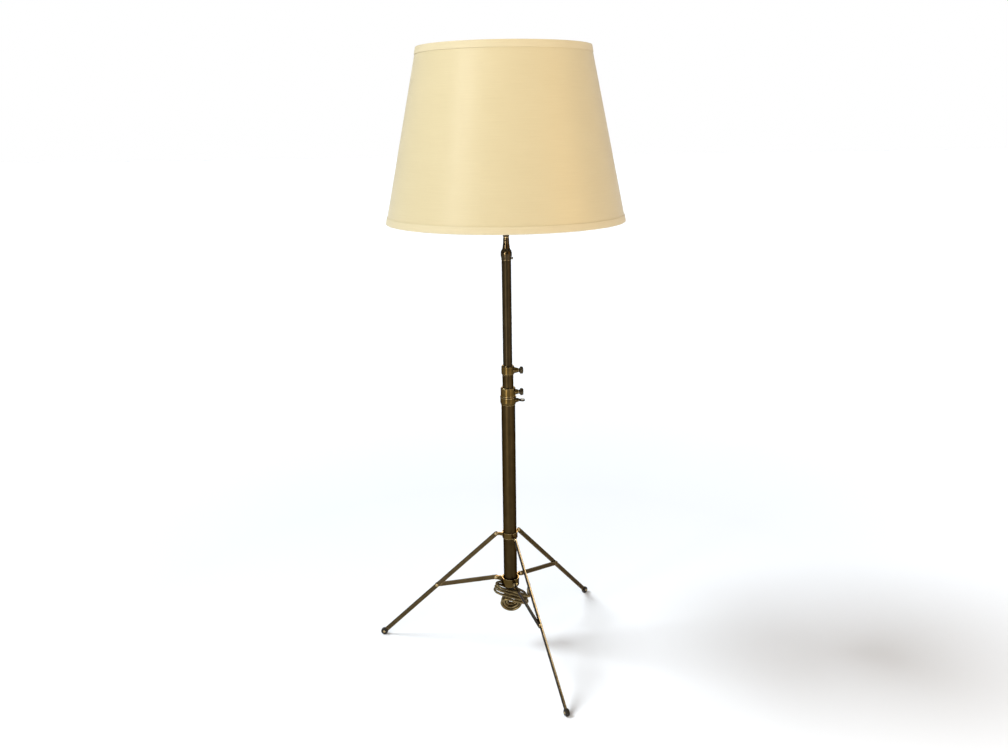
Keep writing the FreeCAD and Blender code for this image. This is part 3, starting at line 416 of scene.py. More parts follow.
CAP_METAL = Metal("cap_aluminium", rgb(0.62, 0.62, 0.61), rgb(0.80, 0.80, 0.79),
                  rgb(0.92, 0.92, 0.92), 0.2, 0.38, Grain.ROUND_POST, 0.4)
FOOT_RUBBER = Moulding("foot_rubber", rgb(0.007, 0.005, 0.003), rgb(0.016, 0.011, 0.006), 0.55,
                       scuff=rgb(0.06, 0.045, 0.03), specular=0.3)
NYLON = Moulding("natural_nylon", rgb(0.62, 0.60, 0.52), rgb(0.74, 0.72, 0.65), 0.45)
BLACK_PLASTIC = Moulding("black_plastic", rgb(0.010, 0.010, 0.010), rgb(0.024, 0.023, 0.022), 0.42,
                         scuff=rgb(0.08, 0.08, 0.08))
FIBRE = Moulding("pressed_fibre", rgb(0.17, 0.10, 0.05), rgb(0.30, 0.20, 0.11), 0.8, 1500.0)
PLUG_PLASTIC = Moulding("plug_plastic", rgb(0.26, 0.205, 0.105), rgb(0.38, 0.31, 0.18), 0.22,
                        500.0, 0.00001)
LINING = Moulding("white_lining", rgb(0.80, 0.78, 0.73), rgb(0.87, 0.86, 0.82), 0.5, 260.0, 0.00004)
SHADE_CLOTH = SatinCloth("shade_cloth", rgb(0.685, 0.567, 0.330), rgb(0.735, 0.618, 0.372), 0.12)
SHADE_TAPE = SatinCloth("shade_tape", rgb(0.69, 0.57, 0.345), rgb(0.78, 0.665, 0.42), 0.15, 0.46)
CORD_GOLD = ClearCord("clear_gold_cord", rgb(0.055, 0.037, 0.012), rgb(0.21, 0.152, 0.062))
WHITE_GLASS = CoatedGlass("soft_white_glass", rgb(0.86, 0.85, 0.82), rgb(0.92, 0.91, 0.89))


@dataclass
class Paintbox:
    """Materials, each made once, by the name of its finish."""

    made: dict[str, bpy.types.Material] = field(default_factory=dict)

    def get(self, finish: Finish) -> bpy.types.Material:
        """Material of any of the finishes above."""
        if finish.name not in self.made:
            self.made[finish.name] = finish.make()
        return self.made[finish.name]


PAINT = Paintbox()


# Meshes

def link(mesh: bpy.types.Mesh, name: str, finish: Finish) -> bpy.types.Object:
    """New object of a mesh, in a finish.

    Args:
        mesh: The mesh.
        name: Name of the piece.
        finish: Finish of the whole piece.

    Returns:
        The object, in the scene.
    """
    mesh.materials.clear()
    mesh.materials.append(PAINT.get(finish))
    piece = bpy.data.objects.new(name, mesh)
    bpy.context.scene.collection.objects.link(piece)
    return piece


def report(piece: bpy.types.Object, body: str) -> bpy.types.Object:
    """Fasten a finished piece to its body.

    Args:
        piece: The piece, in its place.
        body: Body that carries it.

    Returns:
        The piece.
    """
    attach(piece, body)
    log.info("%s rides on %s", piece.name, body)
    return piece


class Weaver(Tree):
    """Geometry Nodes tree that makes one kind of piece."""

    def __init__(self, name: str, sizes: Mapping[str, float | int]) -> None:
        """Make a tree with named inputs.

        Args:
            name: Name of the tree.
            sizes: Inputs and their starting values. A whole number makes a count.
        """
        tree = bpy.data.node_groups.new(name, "GeometryNodeTree")
        super().__init__(tree)
        self.sockets: dict[str, str] = {}
        for label, value in sizes.items():
            kind = "NodeSocketInt" if isinstance(value, int) else "NodeSocketFloat"
            item = tree.interface.new_socket(label, in_out="INPUT", socket_type=kind)
            item.default_value = value
            self.sockets[label] = item.identifier
        item = tree.interface.new_socket("Finish", in_out="INPUT", socket_type="NodeSocketMaterial")
        self.sockets["Finish"] = item.identifier
        tree.interface.new_socket("Mesh", in_out="OUTPUT", socket_type="NodeSocketGeometry")
        self.entry = tree.nodes.new("NodeGroupInput")

    def size(self, label: str) -> Wire:
        """Named input."""
        return Wire(self, self.entry.outputs[label])

    def close(self, geometry: Wire) -> None:
        """End the tree in real geometry of one finish."""
        real = self.add("GeometryNodeRealizeInstances", inputs={0: geometry})
        smooth = self.add("GeometryNodeSetShadeSmooth", inputs={0: real})
        dressed = self.add("GeometryNodeSetMaterial",
                           inputs={0: smooth, "Material": self.size("Finish")})
        self.add("NodeGroupOutput", inputs={0: dressed})

    def make(self, name: str, finish: Finish, **sizes: float | int) -> bpy.types.Object:
        """Plain mesh object of the tree's result.

        Args:
            name: Name of the piece.
            finish: Its finish.
            sizes: Inputs by their label, with underscores for spaces.

        Returns:
            The object.
        """
        carrier = bpy.data.objects.new(name + "_maker", bpy.data.meshes.new(name + "_maker"))
        bpy.context.scene.collection.objects.link(carrier)
        modifier = carrier.modifiers.new("maker", "NODES")
        modifier.node_group = self.tree
        for label, value in sizes.items():
            modifier[self.sockets[label.replace("_", " ").capitalize()]] = value
        modifier[self.sockets["Finish"]] = PAINT.get(finish)
        depsgraph = bpy.context.evaluated_depsgraph_get()
        mesh = bpy.data.meshes.new_from_object(carrier.evaluated_get(depsgraph))
        mesh.name = name
        bpy.data.objects.remove(carrier)
        return link(mesh, name, finish)


def wall_weaver() -> Weaver:
    """Tree of a tapered round wall, or of a strip up it, with a UV map in metres."""
    tree = Weaver("tapered_wall", {"Top radius": 0.16, "Bottom radius": 0.22, "Top height": 1.2,
                                   "Bottom height": 0.9, "Middle angle": 0.0, "Sweep": 6.28,
                                   "Width": 0.0, "Columns": 64, "Rows": 12})
    grid = tree.add("GeometryNodeMeshGrid", inputs={"Size X": 1.0, "Size Y": 1.0,
                                                    "Vertices X": tree.size("Columns"),
                                                    "Vertices Y": tree.size("Rows")})
    top, bottom = tree.size("Top radius"), tree.size("Bottom radius")
    sweep, width = tree.size("Sweep"), tree.size("Width")
    position = tree.add("GeometryNodeInputPosition")
    across = tree.part(position, "X")
    rise = tree.part(position, "Y") + 0.5
    spread = top - bottom
    radius = bottom + rise * spread
    climb = tree.size("Top height") - tree.size("Bottom height")
    height = tree.size("Bottom height") + rise * climb
    angle = tree.size("Middle angle") + across * sweep + across * width / radius
    middle = (top + bottom) * 0.5
    slant = (spread * spread + climb * climb) ** 0.5
    chart = tree.vector(across * (sweep * middle + width), rise * slant)
    charted = tree.add("GeometryNodeStoreNamedAttribute", {"data_type": "FLOAT2", "domain": "CORNER"},
                       {"Geometry": grid, "Name": "UVMap", "Value": chart})
    target = tree.vector(radius * angle.cosine(), radius * angle.sine(), height)
    placed = tree.add("GeometryNodeSetPosition", inputs={"Geometry": charted, "Position": target})
    tree.close(tree.add("GeometryNodeMergeByDistance",
                        inputs={"Geometry": placed, "Distance": 0.00001}))
    return tree


def thread_weaver() -> Weaver:
    """Tree of a screw thread's ridge about the Z axis."""
    tree = Weaver("thread", {"Radius": 0.005, "Pitch": 0.001, "Turns": 8.0, "Foot": 0.0,
                             "Ridge": 0.0003, "Steps": 24})
    radius = tree.size("Radius")
    spiral = tree.add("GeometryNodeCurveSpiral",
                      inputs={"Resolution": tree.size("Steps"), "Rotations": tree.size("Turns"),
                              "Start Radius": radius, "End Radius": radius,
                              "Height": tree.size("Pitch") * tree.size("Turns")})
    profile = tree.add("GeometryNodeCurvePrimitiveCircle", {"mode": "RADIUS"},
                       {"Resolution": 8, "Radius": tree.size("Ridge")})
    ridge = tree.add("GeometryNodeCurveToMesh", inputs={"Curve": spiral, "Profile Curve": profile,
                                                        "Fill Caps": True})
    rise = tree.vector(z=tree.size("Foot"))
    tree.close(tree.add("GeometryNodeTransform", inputs={"Geometry": ridge, "Translation": rise}))
    return tree


def rib_weaver() -> Weaver:
    """Tree of grip ribs on two opposite faces of a block, rolled about the Y axis."""
    tree = Weaver("grip_ribs", {"Spread": 0.009, "Pitch": 0.0014, "Count": 7, "Radius": 0.0005,
                                "Length": 0.01, "Roll": 0.0, "Middle x": 0.0, "Middle y": 0.0,
                                "Middle z": 0.0})
    grid = tree.add("GeometryNodeMeshGrid",
                    inputs={"Size X": tree.size("Spread"),
                            "Size Y": tree.size("Pitch") * (tree.size("Count") - 1.0),
                            "Vertices X": 2, "Vertices Y": tree.size("Count")})
    bar = tree.add("GeometryNodeMeshCylinder",
                   inputs={"Vertices": 12, "Radius": tree.size("Radius"),
                           "Depth": tree.size("Length")})
    ribs = tree.add("GeometryNodeInstanceOnPoints", inputs={"Points": grid, "Instance": bar})
    roll = tree.vector(y=tree.size("Roll"))
    middle = tree.vector(*(tree.size("Middle " + axis) for axis in "xyz"))
    tree.close(tree.add("GeometryNodeTransform",
                        inputs={"Geometry": ribs, "Translation": middle, "Rotation": roll}))
    return tree


def join(maker: bmesh.types.BMesh, ring: Sequence[bmesh.types.BMVert],
         upper: Sequence[bmesh.types.BMVert], smooth: bool = True) -> list[bmesh.types.BMFace]:
    """Faces between two closed rings of as many corners.

    Args:
        maker: Mesh under work.
        ring: Corners of the first ring.
        upper: Corners of the next ring.
        smooth: Whether the faces are shaded smooth.

    Returns:
        The faces, in the order of the corners.
    """
    faces = []
    for step, corner in enumerate(ring):
        after = (step + 1) % len(ring)
        faces.append(maker.faces.new((corner, ring[after], upper[after], upper[step])))
        faces[-1].smooth = smooth
    return faces


def bake(maker: bmesh.types.BMesh, name: str, finish: Finish) -> bpy.types.Object:
    """Make a piece of a mesh under work, which ends with it."""
    mesh = bpy.data.meshes.new(name)
    maker.to_mesh(mesh)
    maker.free()
    return link(mesh, name, finish)


def turned(name: str, finish: Finish, profile: Sequence[Pair], steps: int = 128,
           ripple: Callable[[float, float], float] | None = None) -> bpy.types.Object:
    """Surface of revolution about the Z axis, with a UV map in metres.

    Args:
        name: Name of the piece.
        finish: Its finish.
        profile: Radii and heights. The outside is on the left of its run up the axis.
        steps: Faces round the axis.
        ripple: Radial shift from an angle and the way along the profile.

    Returns:
        The object.
    """
    maker = bmesh.new()
    chart = maker.loops.layers.uv.new("UVMap")
    middle = sum(radius for radius, _ in profile) / len(profile)
    along = [0.0]
    for (radius, height), (next_radius, next_height) in zip(profile, profile[1:]):
        along.append(along[-1] + math.hypot(next_radius - radius, next_height - height))
    rings = []
    for (radius, height), way in zip(profile, along):
        ring = []
        for step in range(steps):
            angle = 2.0 * math.pi * step / steps
            reach = radius + (ripple(angle, way) if ripple else 0.0)
            ring.append(maker.verts.new((reach * math.cos(angle), reach * math.sin(angle), height)))
        rings.append(ring)
    for row, (ring, upper) in enumerate(zip(rings, rings[1:])):
        for step, face in enumerate(join(maker, ring, upper)):
            arcs = [2.0 * math.pi * number / steps * middle for number in (step, step + 1)]
            corners = ((arcs[0], along[row]), (arcs[1], along[row]),
                       (arcs[1], along[row + 1]), (arcs[0], along[row + 1]))
            for loop, corner in zip(face.loops, corners):
                loop[chart].uv = corner
    bmesh.ops.remove_doubles(maker, verts=maker.verts, dist=1e-7)
    return bake(maker, name, finish)


def swept(name: str, finish: Finish, line: Sequence[Vector], profile: Sequence[Pair],
          steps: int = 32) -> bpy.types.Object:
    """Closed round skin that follows a line which runs mostly downwards.

    Args:
        name: Name of the piece.
        finish: Its finish.
        line: Close points of the line.
        profile: Ways along the line and radii, down the outside and back up the inside.
        steps: Faces round the line.

    Returns:
        The object.
    """
    ways = [0.0]
    for point, following in zip(line, line[1:]):
        ways.append(ways[-1] + (following - point).length)
    maker = bmesh.new()
    angles = [2.0 * math.pi * step / steps for step in range(steps)]
    rings = []
    for way, radius in profile:
        spot = min(max(sum(1 for reached in ways if reached < way), 1), len(ways) - 1)
        run = (line[spot] - line[spot - 1]).normalized()
        middle = line[spot - 1] + run * (way - ways[spot - 1])
        across = (Vector((1.0, 0.0, 0.0)) - run * run.x).normalized()
        other = run.cross(across)
        spokes = [across * math.cos(angle) + other * math.sin(angle) for angle in angles]
        rings.append([maker.verts.new(middle + spoke * radius) for spoke in spokes])
    for ring, upper in zip(rings, rings[1:] + rings[:1]):
        join(maker, ring, upper)
    bmesh.ops.recalc_face_normals(maker, faces=maker.faces)
    return bake(maker, name, finish)


def thicken(piece: bpy.types.Object, thickness: float) -> None:
    """Give a sheet a wall that grows inwards."""
    modifier = piece.modifiers.new("wall", "SOLIDIFY")
    modifier.thickness = thickness
    modifier.offset = -1.0
    modifier.use_even_offset = True


# Studio

def shine(data: bpy.types.Light, place: Sequence[float], way: Vector) -> bpy.types.Object:
    """New light in its place.

    Args:
        data: Kind, strength and name of the light.
        place: Where it stands.
        way: Direction that it faces.

    Returns:
        The light.
    """
    light = bpy.data.objects.new(data.name, data)
    light.matrix_world = (Matrix.Translation(place)
                          @ way.to_track_quat("-Z", "Y").to_matrix().to_4x4())
    bpy.context.scene.collection.objects.link(light)
    return light


def limit(light: bpy.types.Object, pieces: Sequence[bpy.types.Object]) -> bpy.types.Collection:
    """Let a light reach some pieces alone.

    Args:
        light: The light.
        pieces: What it reaches.

    Returns:
        The collection of the pieces.
    """
    reached = bpy.data.collections.new(light.name + "_reach")
    for piece in pieces:
        reached.objects.link(piece)
    light.light_linking.receiver_collection = reached
    return reached


@dataclass(frozen=True)
class Lamp:
    """Soft light that faces a point of the post's axis and, if asked, reaches some nodes only."""

    name: str
    place: Triple
    aim_height: float
    size: Pair
    power: float
    colour: Triple
    only: tuple[str, ...] = ()
    in_gloss: bool = True

    def build(self) -> bpy.types.Object:
        """Make the light."""
        data = bpy.data.lights.new(self.name, "AREA")
        data.shape = "RECTANGLE"
        data.size, data.size_y = self.size
        data.energy = self.power
        data.color = self.colour
        light = shine(data, self.place, Vector((0.0, 0.0, self.aim_height)) - Vector(self.place))
        light.visible_camera = False
        light.visible_glossy = self.in_gloss
        if self.only:
            limit(light, [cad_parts[name] for name in self.only])
        return light


LAMPS = (
    Lamp("band", (-1.90, -1.77, 2.2), 1.07, (0.30, 1.3), 12.2, (1.0, 0.99, 0.97)),
    Lamp("low_left", (-0.60, -1.14, 0.40), 0.40, (0.36, 0.76), 4.8, (1.0, 0.98, 0.94)),
    Lamp("low_right", (0.82, -0.96, 0.40), 0.40, (0.30, 0.76), 1.5, (1.0, 0.85, 0.66)),
    Lamp("on_neck", (-1.0, -1.75, 0.98), 0.86, (0.08, 0.5), 26.0, (1.0, 0.95, 0.84),
         ("neck", "neck_set_screw")),
    Lamp("front", (-0.95, -2.9, 2.1), 0.95, (0.8, 1.6), 22.0, (1.0, 0.96, 0.86)),
    Lamp("on_shade", (-0.4, -2.2, 2.95), 1.15, (0.6, 1.2), 36.5, (1.0, 0.95, 0.83), in_gloss=False),
    Lamp("on_legs", (1.29, -0.88, 2.32), 0.18, (0.42, 0.62), 26.0, (1.0, 0.97, 0.88),
         (*thrice("leg", "brace", "leg_rivets"), "upper_hub", "lower_hub", "lower_hub_rivets")),
    Lamp("on_rims", (0.0, 2.15, 1.20), 0.35, (1.6, 0.4), 20.0, (1.0, 0.93, 0.80),
         ("upper_hub", "lower_hub", "lower_collar", "lower_clamp", "upper_clamp",
          "lower_clamp_screw", "lower_lock_screw", "upper_clamp_screw")),
    Lamp("fill", (2.6, -1.4, 1.3), 0.9, (1.2, 1.6), 16.0, (1.0, 0.53, 0.10)),
)


@dataclass
class Studio:
    """Pale floor, soft lights and the camera."""

    camera_place: Triple = (-0.0078, -1.8252, 1.09205)
    camera_fall: float = math.radians(15.21)
    camera_roll: float = math.radians(-0.82)
    focal_pixels: float = 941.6
    image_width: float = 1008.0
    sensor: float = 36.0
    side_fall: float = math.radians(52.0)
    side_turn: float = math.radians(-5.0)
    side_spread: float = math.radians(22.0)
    side_strength: float = 1.12
    side_colour: Triple = (0.74, 0.91, 1.0)
    floor_strength: float = 2.05
    floor_reach: float = 30.0
    floor_deep: Colour = (0.715, 0.73, 0.76, 1.0)
    floor_bright: Colour = (0.725, 0.74, 0.77, 1.0)
    near_glow: float = 0.05
    far_glow: float = 0.3
    glow_reach: Pair = (0.9, 2.6)
    room_glow: float = 0.28
    backdrop_glow: float = 0.2
    backdrop_reach: Pair = (-0.35, 0.45)
    off_shade: tuple[str, ...] = ("low_left", "low_right", "front")
    lights: dict[str, bpy.types.Object] = field(default_factory=dict)

    def build(self) -> None:
        """Make the camera, the floor, the world and the lights."""
        bpy.context.scene.view_settings.view_transform = "Standard"
        self._camera()
        floor = self._floor()
        self._world()
        self._side_light("side", self.side_strength, self.side_colour)
        limit(self._side_light("side_on_floor", self.floor_strength, (1.0, 1.0, 1.0)), [floor])
        for lamp in LAMPS:
            self.lights[lamp.name] = lamp.build()

    def _camera(self) -> None:
        """Camera that sees the lamp as the picture does."""
        scene = bpy.context.scene
        lens = bpy.data.cameras.new("camera")
        lens.sensor_fit = "HORIZONTAL"
        lens.sensor_width = self.sensor
        lens.lens = self.focal_pixels * self.sensor / self.image_width
        lens.clip_start = 0.01
        camera = bpy.data.objects.new("camera", lens)
        camera.matrix_world = (Matrix.Translation(self.camera_place)
                               @ Matrix.Rotation(math.pi / 2 - self.camera_fall, 4, "X")
                               @ Matrix.Rotation(self.camera_roll, 4, "Z"))
        scene.collection.objects.link(camera)
        scene.camera = camera

    def _floor(self) -> bpy.types.Object:
        """Pale floor that runs out of view."""
        tree = Shader("studio_floor")
        clouds = tree.noise(tree.place(), 3.0, 2.0, 0.5)
        distance = tree.add("ShaderNodeVectorMath", {"operation": "LENGTH"}, {0: tree.place()},
                            "Value")
        near, far = (rgb(glow, glow, glow) for glow in (self.near_glow, self.far_glow))
        tree.finish(base_color=tree.mix(clouds, self.floor_deep, self.floor_bright), roughness=0.9,
                    specular_ior_level=0.1, emission_strength=1.0,
                    emission_color=tree.mix(distance.between(*self.glow_reach), near, far))
        mesh = bpy.data.meshes.new("studio_floor")
        corners = [(x * self.floor_reach, y * self.floor_reach, 0.0)
                   for x, y in ((-1, -1), (1, -1), (1, 1), (-1, 1))]
        mesh.from_pydata(corners, [], [(0, 1, 2, 3)])
        mesh.materials.append(tree.material)
        floor = bpy.data.objects.new("studio_floor", mesh)
        bpy.context.scene.collection.objects.link(floor)
        return floor

    def _world(self) -> None:
        """White backdrop round the view's side, and a dimmer room behind and above the camera."""
        world = bpy.data.worlds.new("surroundings")
        world.use_nodes = True
        world.node_tree.nodes.clear()
        tree = Tree(world.node_tree)
        way = tree.add("ShaderNodeTexCoord", output="Generated")
        backdrop = tree.part(way, "Y").between(*self.backdrop_reach)
        seen = tree.add("ShaderNodeLightPath", output="Is Camera Ray")
        light = (backdrop * self.backdrop_glow + self.room_glow) * (1.0 - seen) + seen
        glow = tree.add("ShaderNodeBackground",
                        inputs={"Color": rgb(1.0, 1.0, 1.0), "Strength": light})
        tree.add("ShaderNodeOutputWorld", inputs={"Surface": glow})
        bpy.context.scene.world = world

    def _side_light(self, name: str, strength: float, colour: Triple) -> bpy.types.Object:
        """Soft light from the left, wide as a large window, that casts the floor's shadows.

        Args:
            name: Name of the light.
            strength: Its strength.
            colour: Its tint.

        Returns:
            The light.
        """
        data = bpy.data.lights.new(name, "SUN")
        data.energy = strength
        data.angle = self.side_spread
        data.color = colour
        level = math.cos(self.side_fall)
        way = Vector((level * math.cos(self.side_turn), level * math.sin(self.side_turn),
                      -math.sin(self.side_fall)))
        return shine(data, (0.0, 0.0, 0.0), way)

    def light_shade(self, pieces: Sequence[bpy.types.Object]) -> None:
        """Give the shade its own lamp and keep the post's lamps off it."""
        limit(self.lights["on_shade"], pieces)
        for name in self.off_shade:
            for entry in limit(self.lights[name], pieces).collection_objects:
                entry.light_linking.link_state = "EXCLUDE"


# Cord

@dataclass
class PowerCord:
    """Cord that leaves the hub, is wound in a coil and wrapped, and ends in its plug."""

    bush_height: float = 0.141883
    diameter: float = 0.0052
    length: float = 1.46
    pitch: float = 0.00575
    layers: int = 4
    turns: float = 8.667
    half_width: float = 0.0223
    half_height: float = 0.0203
    coil_shift: float = 0.002
    coil_drop: float = 0.0394
    start_angle: float = math.radians(60.0)
    turn_points: int = 16
    smoothness: int = 6
    fine_smoothness: int = 24
    spline_cut: float = 1.0195
    wrap_shift: float = 0.00015
    wrap_drop: float = 0.0107
    wrap_tilt: float = math.radians(18.0)
    wrap_run: float = 0.0172
    wrap_half_width: float = 0.0145
    wrap_lifts: tuple[float, ...] = (-0.0198, -0.0136, -0.0062, 0.0)
    wrap_flare: float = 0.62
    wrap_bulge: float = 0.01525
    wrap_start: float = -0.005
    wrap_angle: float = -72.0
    wrap_step: float = 36.0
    plug_shift: float = 0.0398
    plug_drop: float = 0.0251
    lead: tuple[Triple, ...] = ((0.0, 0.0, 0.0), (0.0, 0.0, -0.0065), (0.0015, 0.0044, -0.013))
    lead_in: float = 0.0082
    tail: tuple[Triple, ...] = ((-0.0035, -0.0148, 0.0012), (0.0, -0.0120, 0.0),
                                (0.0, -0.0082, 0.0), (0.0, -0.0030, 0.0))

    def _coil_point(self, turn: float) -> Vector:
        """Control point of the coil after a number of turns."""
        per_layer = self.turns / self.layers
        layer = min(int(turn / per_layer), self.layers - 1)
        along = turn - layer * per_layer
        depth = along if layer % 2 == 0 else per_layer - along
        climbed = 0.0
        for reversal in range(1, self.layers):
            step = min(max((turn - reversal * per_layer) * 2.0 + 0.5, 0.0), 1.0)
            climbed += (1.0 - math.cos(math.pi * step)) / 2.0
        angle = self.start_angle - 2.0 * math.pi * turn
        inset = self.pitch * depth
        back = (self.layers - 1) / 2.0 - climbed
        middle = Vector((self.coil_shift, 0.0, self.bush_height - self.coil_drop))
        wide = (self.half_width - inset) * self.spline_cut
        high = (self.half_height - inset) * self.spline_cut
        return middle + Vector((wide * math.cos(angle), self.pitch * back, high * math.sin(angle)))

    def _wrap_point(self, along: float, side: float, lift: float) -> Vector:
        """Point beside the wraps' middle, in their tilted plane."""
        middle = Vector((self.wrap_shift, 0.0, self.bush_height - self.wrap_drop))
        run = Vector((math.cos(self.wrap_tilt), 0.0, -math.sin(self.wrap_tilt)))
        rise = Vector((math.sin(self.wrap_tilt), 0.0, math.cos(self.wrap_tilt)))
        return middle + run * along + Vector((0.0, side, 0.0)) + rise * lift

    def _wrap_end(self, middle: float, first_angle: float, lift: float) -> list[Vector]:
        """Control points round one end of a wrap.

        Args:
            middle: Way along the wrap of the end's middle.
            first_angle: Where the end starts, in degrees from the wrap's run.
            lift: Height of the wrap.

        Returns:
            The points, in the cord's order.
        """
        points = []
        for step in range(5):
            angle = math.radians(first_angle + self.wrap_step * step)
            points.append(self._wrap_point(middle + self.wrap_bulge * math.cos(angle),
                                           self.wrap_bulge * math.sin(angle), lift))
        return points

    def route(self) -> list[Vector]:
        """Control points of the whole cord, from the bush to the plug."""
        bush = Vector((0.0, 0.0, self.bush_height))
        start = self._coil_point(0.0)
        way = (self._coil_point(0.01) - start).normalized()
        points = [bush + Vector(shift) for shift in self.lead] + [start - way * self.lead_in]
        count = round(self.turns * self.turn_points)
        points += [self._coil_point(self.turns * number / count) for number in range(count + 1)]
        front = -self.wrap_half_width
        points.append(self._wrap_point(self.wrap_start, front, self.wrap_lifts[0]))
        for lift, following in zip(self.wrap_lifts, self.wrap_lifts[1:]):
            right = self.wrap_run - self.wrap_flare * lift
            points += self._wrap_end(right, self.wrap_angle, lift)
            points.append(self._wrap_point(0.0, -front, (lift + following) / 2.0))
            points += self._wrap_end(-self.wrap_run, self.wrap_angle + 180.0, following)
            points.append(self._wrap_point(0.0, front, following))
        points.append(self._wrap_point(self.wrap_run, front, self.wrap_lifts[-1]))
        plug = Vector((self.plug_shift, 0.0, self.bush_height - self.plug_drop))
        return points + [plug + Vector(shift) for shift in self.tail]

    def build(self) -> bpy.types.Object:
        curve = bpy.data.curves.new("power_cord", "CURVE")
        curve.dimensions = "3D"
        curve.resolution_u = self.smoothness
        curve.bevel_depth = self.diameter / 2.0
        curve.bevel_resolution = 5
        curve.use_fill_caps = True
        points = self.route()
        spline = curve.splines.new("NURBS")
        spline.points.add(len(points) - 1)
        for control, point in zip(spline.points, points):
            control.co = (*point, 1.0)
        spline.order_u = 3
        spline.use_endpoint_u = True
        curve.materials.append(PAINT.get(CORD_GOLD))
        cord = bpy.data.objects.new("power_cord", curve)
        bpy.context.scene.collection.objects.link(cord)
        report(cord, "base")
        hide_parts("cord_lead", "cord_hank", "cord_wraps")
        relief = CordRelief().build(self.middle_line(curve))
        plug = CordPlug().build()
        return cord

    def middle_line(self, curve: bpy.types.Curve) -> list[Vector]:
        """Close points along the spline's own line."""
        bare = curve.copy()
        bare.bevel_depth = 0.0
        bare.splines[0].resolution_u = self.fine_smoothness
        carrier = bpy.data.objects.new("middle_line", bare)
        bpy.context.scene.collection.objects.link(carrier)
        depsgraph = bpy.context.evaluated_depsgraph_get()
        mesh = bpy.data.meshes.new_from_object(carrier.evaluated_get(depsgraph))
        points = [vertex.co.copy() for vertex in mesh.vertices]
        bpy.data.objects.remove(carrier)
        bpy.data.meshes.remove(mesh)
        bpy.data.curves.remove(bare)
        return points


@dataclass
class CordRelief:
    """Ribbed taper that stiffens the cord where it leaves the bush."""

    length: float = 0.0205
    bore: float = 0.00262
    root: float = 0.0043
    tip: float = 0.0033
    collar: float = 0.002
    ribs: int = 7
    rib_form: tuple[Pair, ...] = ((0.05, 1.0), (0.14, 0.3), (0.25, 0.0), (0.65, 0.0), (0.76, 0.3),
                                  (0.85, 1.0))
    groove: float = 0.0004
    edge: float = 0.0002
    bore_steps: int = 24

    def build(self, line: Sequence[Vector]) -> bpy.types.Object:
        """Make the sleeve along the cord's line.

        Args:
            line: Close points of the cord's middle line.

        Returns:
            The sleeve.
        """
        profile = [(0.0, self.root - self.edge), (self.edge, self.root),
                   (self.collar - self.edge, self.root), (self.collar, self.root - self.edge)]
        pitch = (self.length - self.collar - 5.0 * self.edge) / self.ribs
        for rib in range(self.ribs):
            for share, sink in self.rib_form:
                way = self.collar + pitch * (rib + share)
                taper = self.root + (self.tip - self.root) * way / self.length
                profile.append((way, taper - self.groove * sink))
        profile += [(self.length - self.edge, self.tip - self.edge),
                    (self.length, self.tip - 2.0 * self.edge)]
        profile += [(self.length * step / self.bore_steps, self.bore)
                    for step in range(self.bore_steps, -1, -1)]
        return report(swept("cord_relief", BLACK_PLASTIC, line, profile), "base")


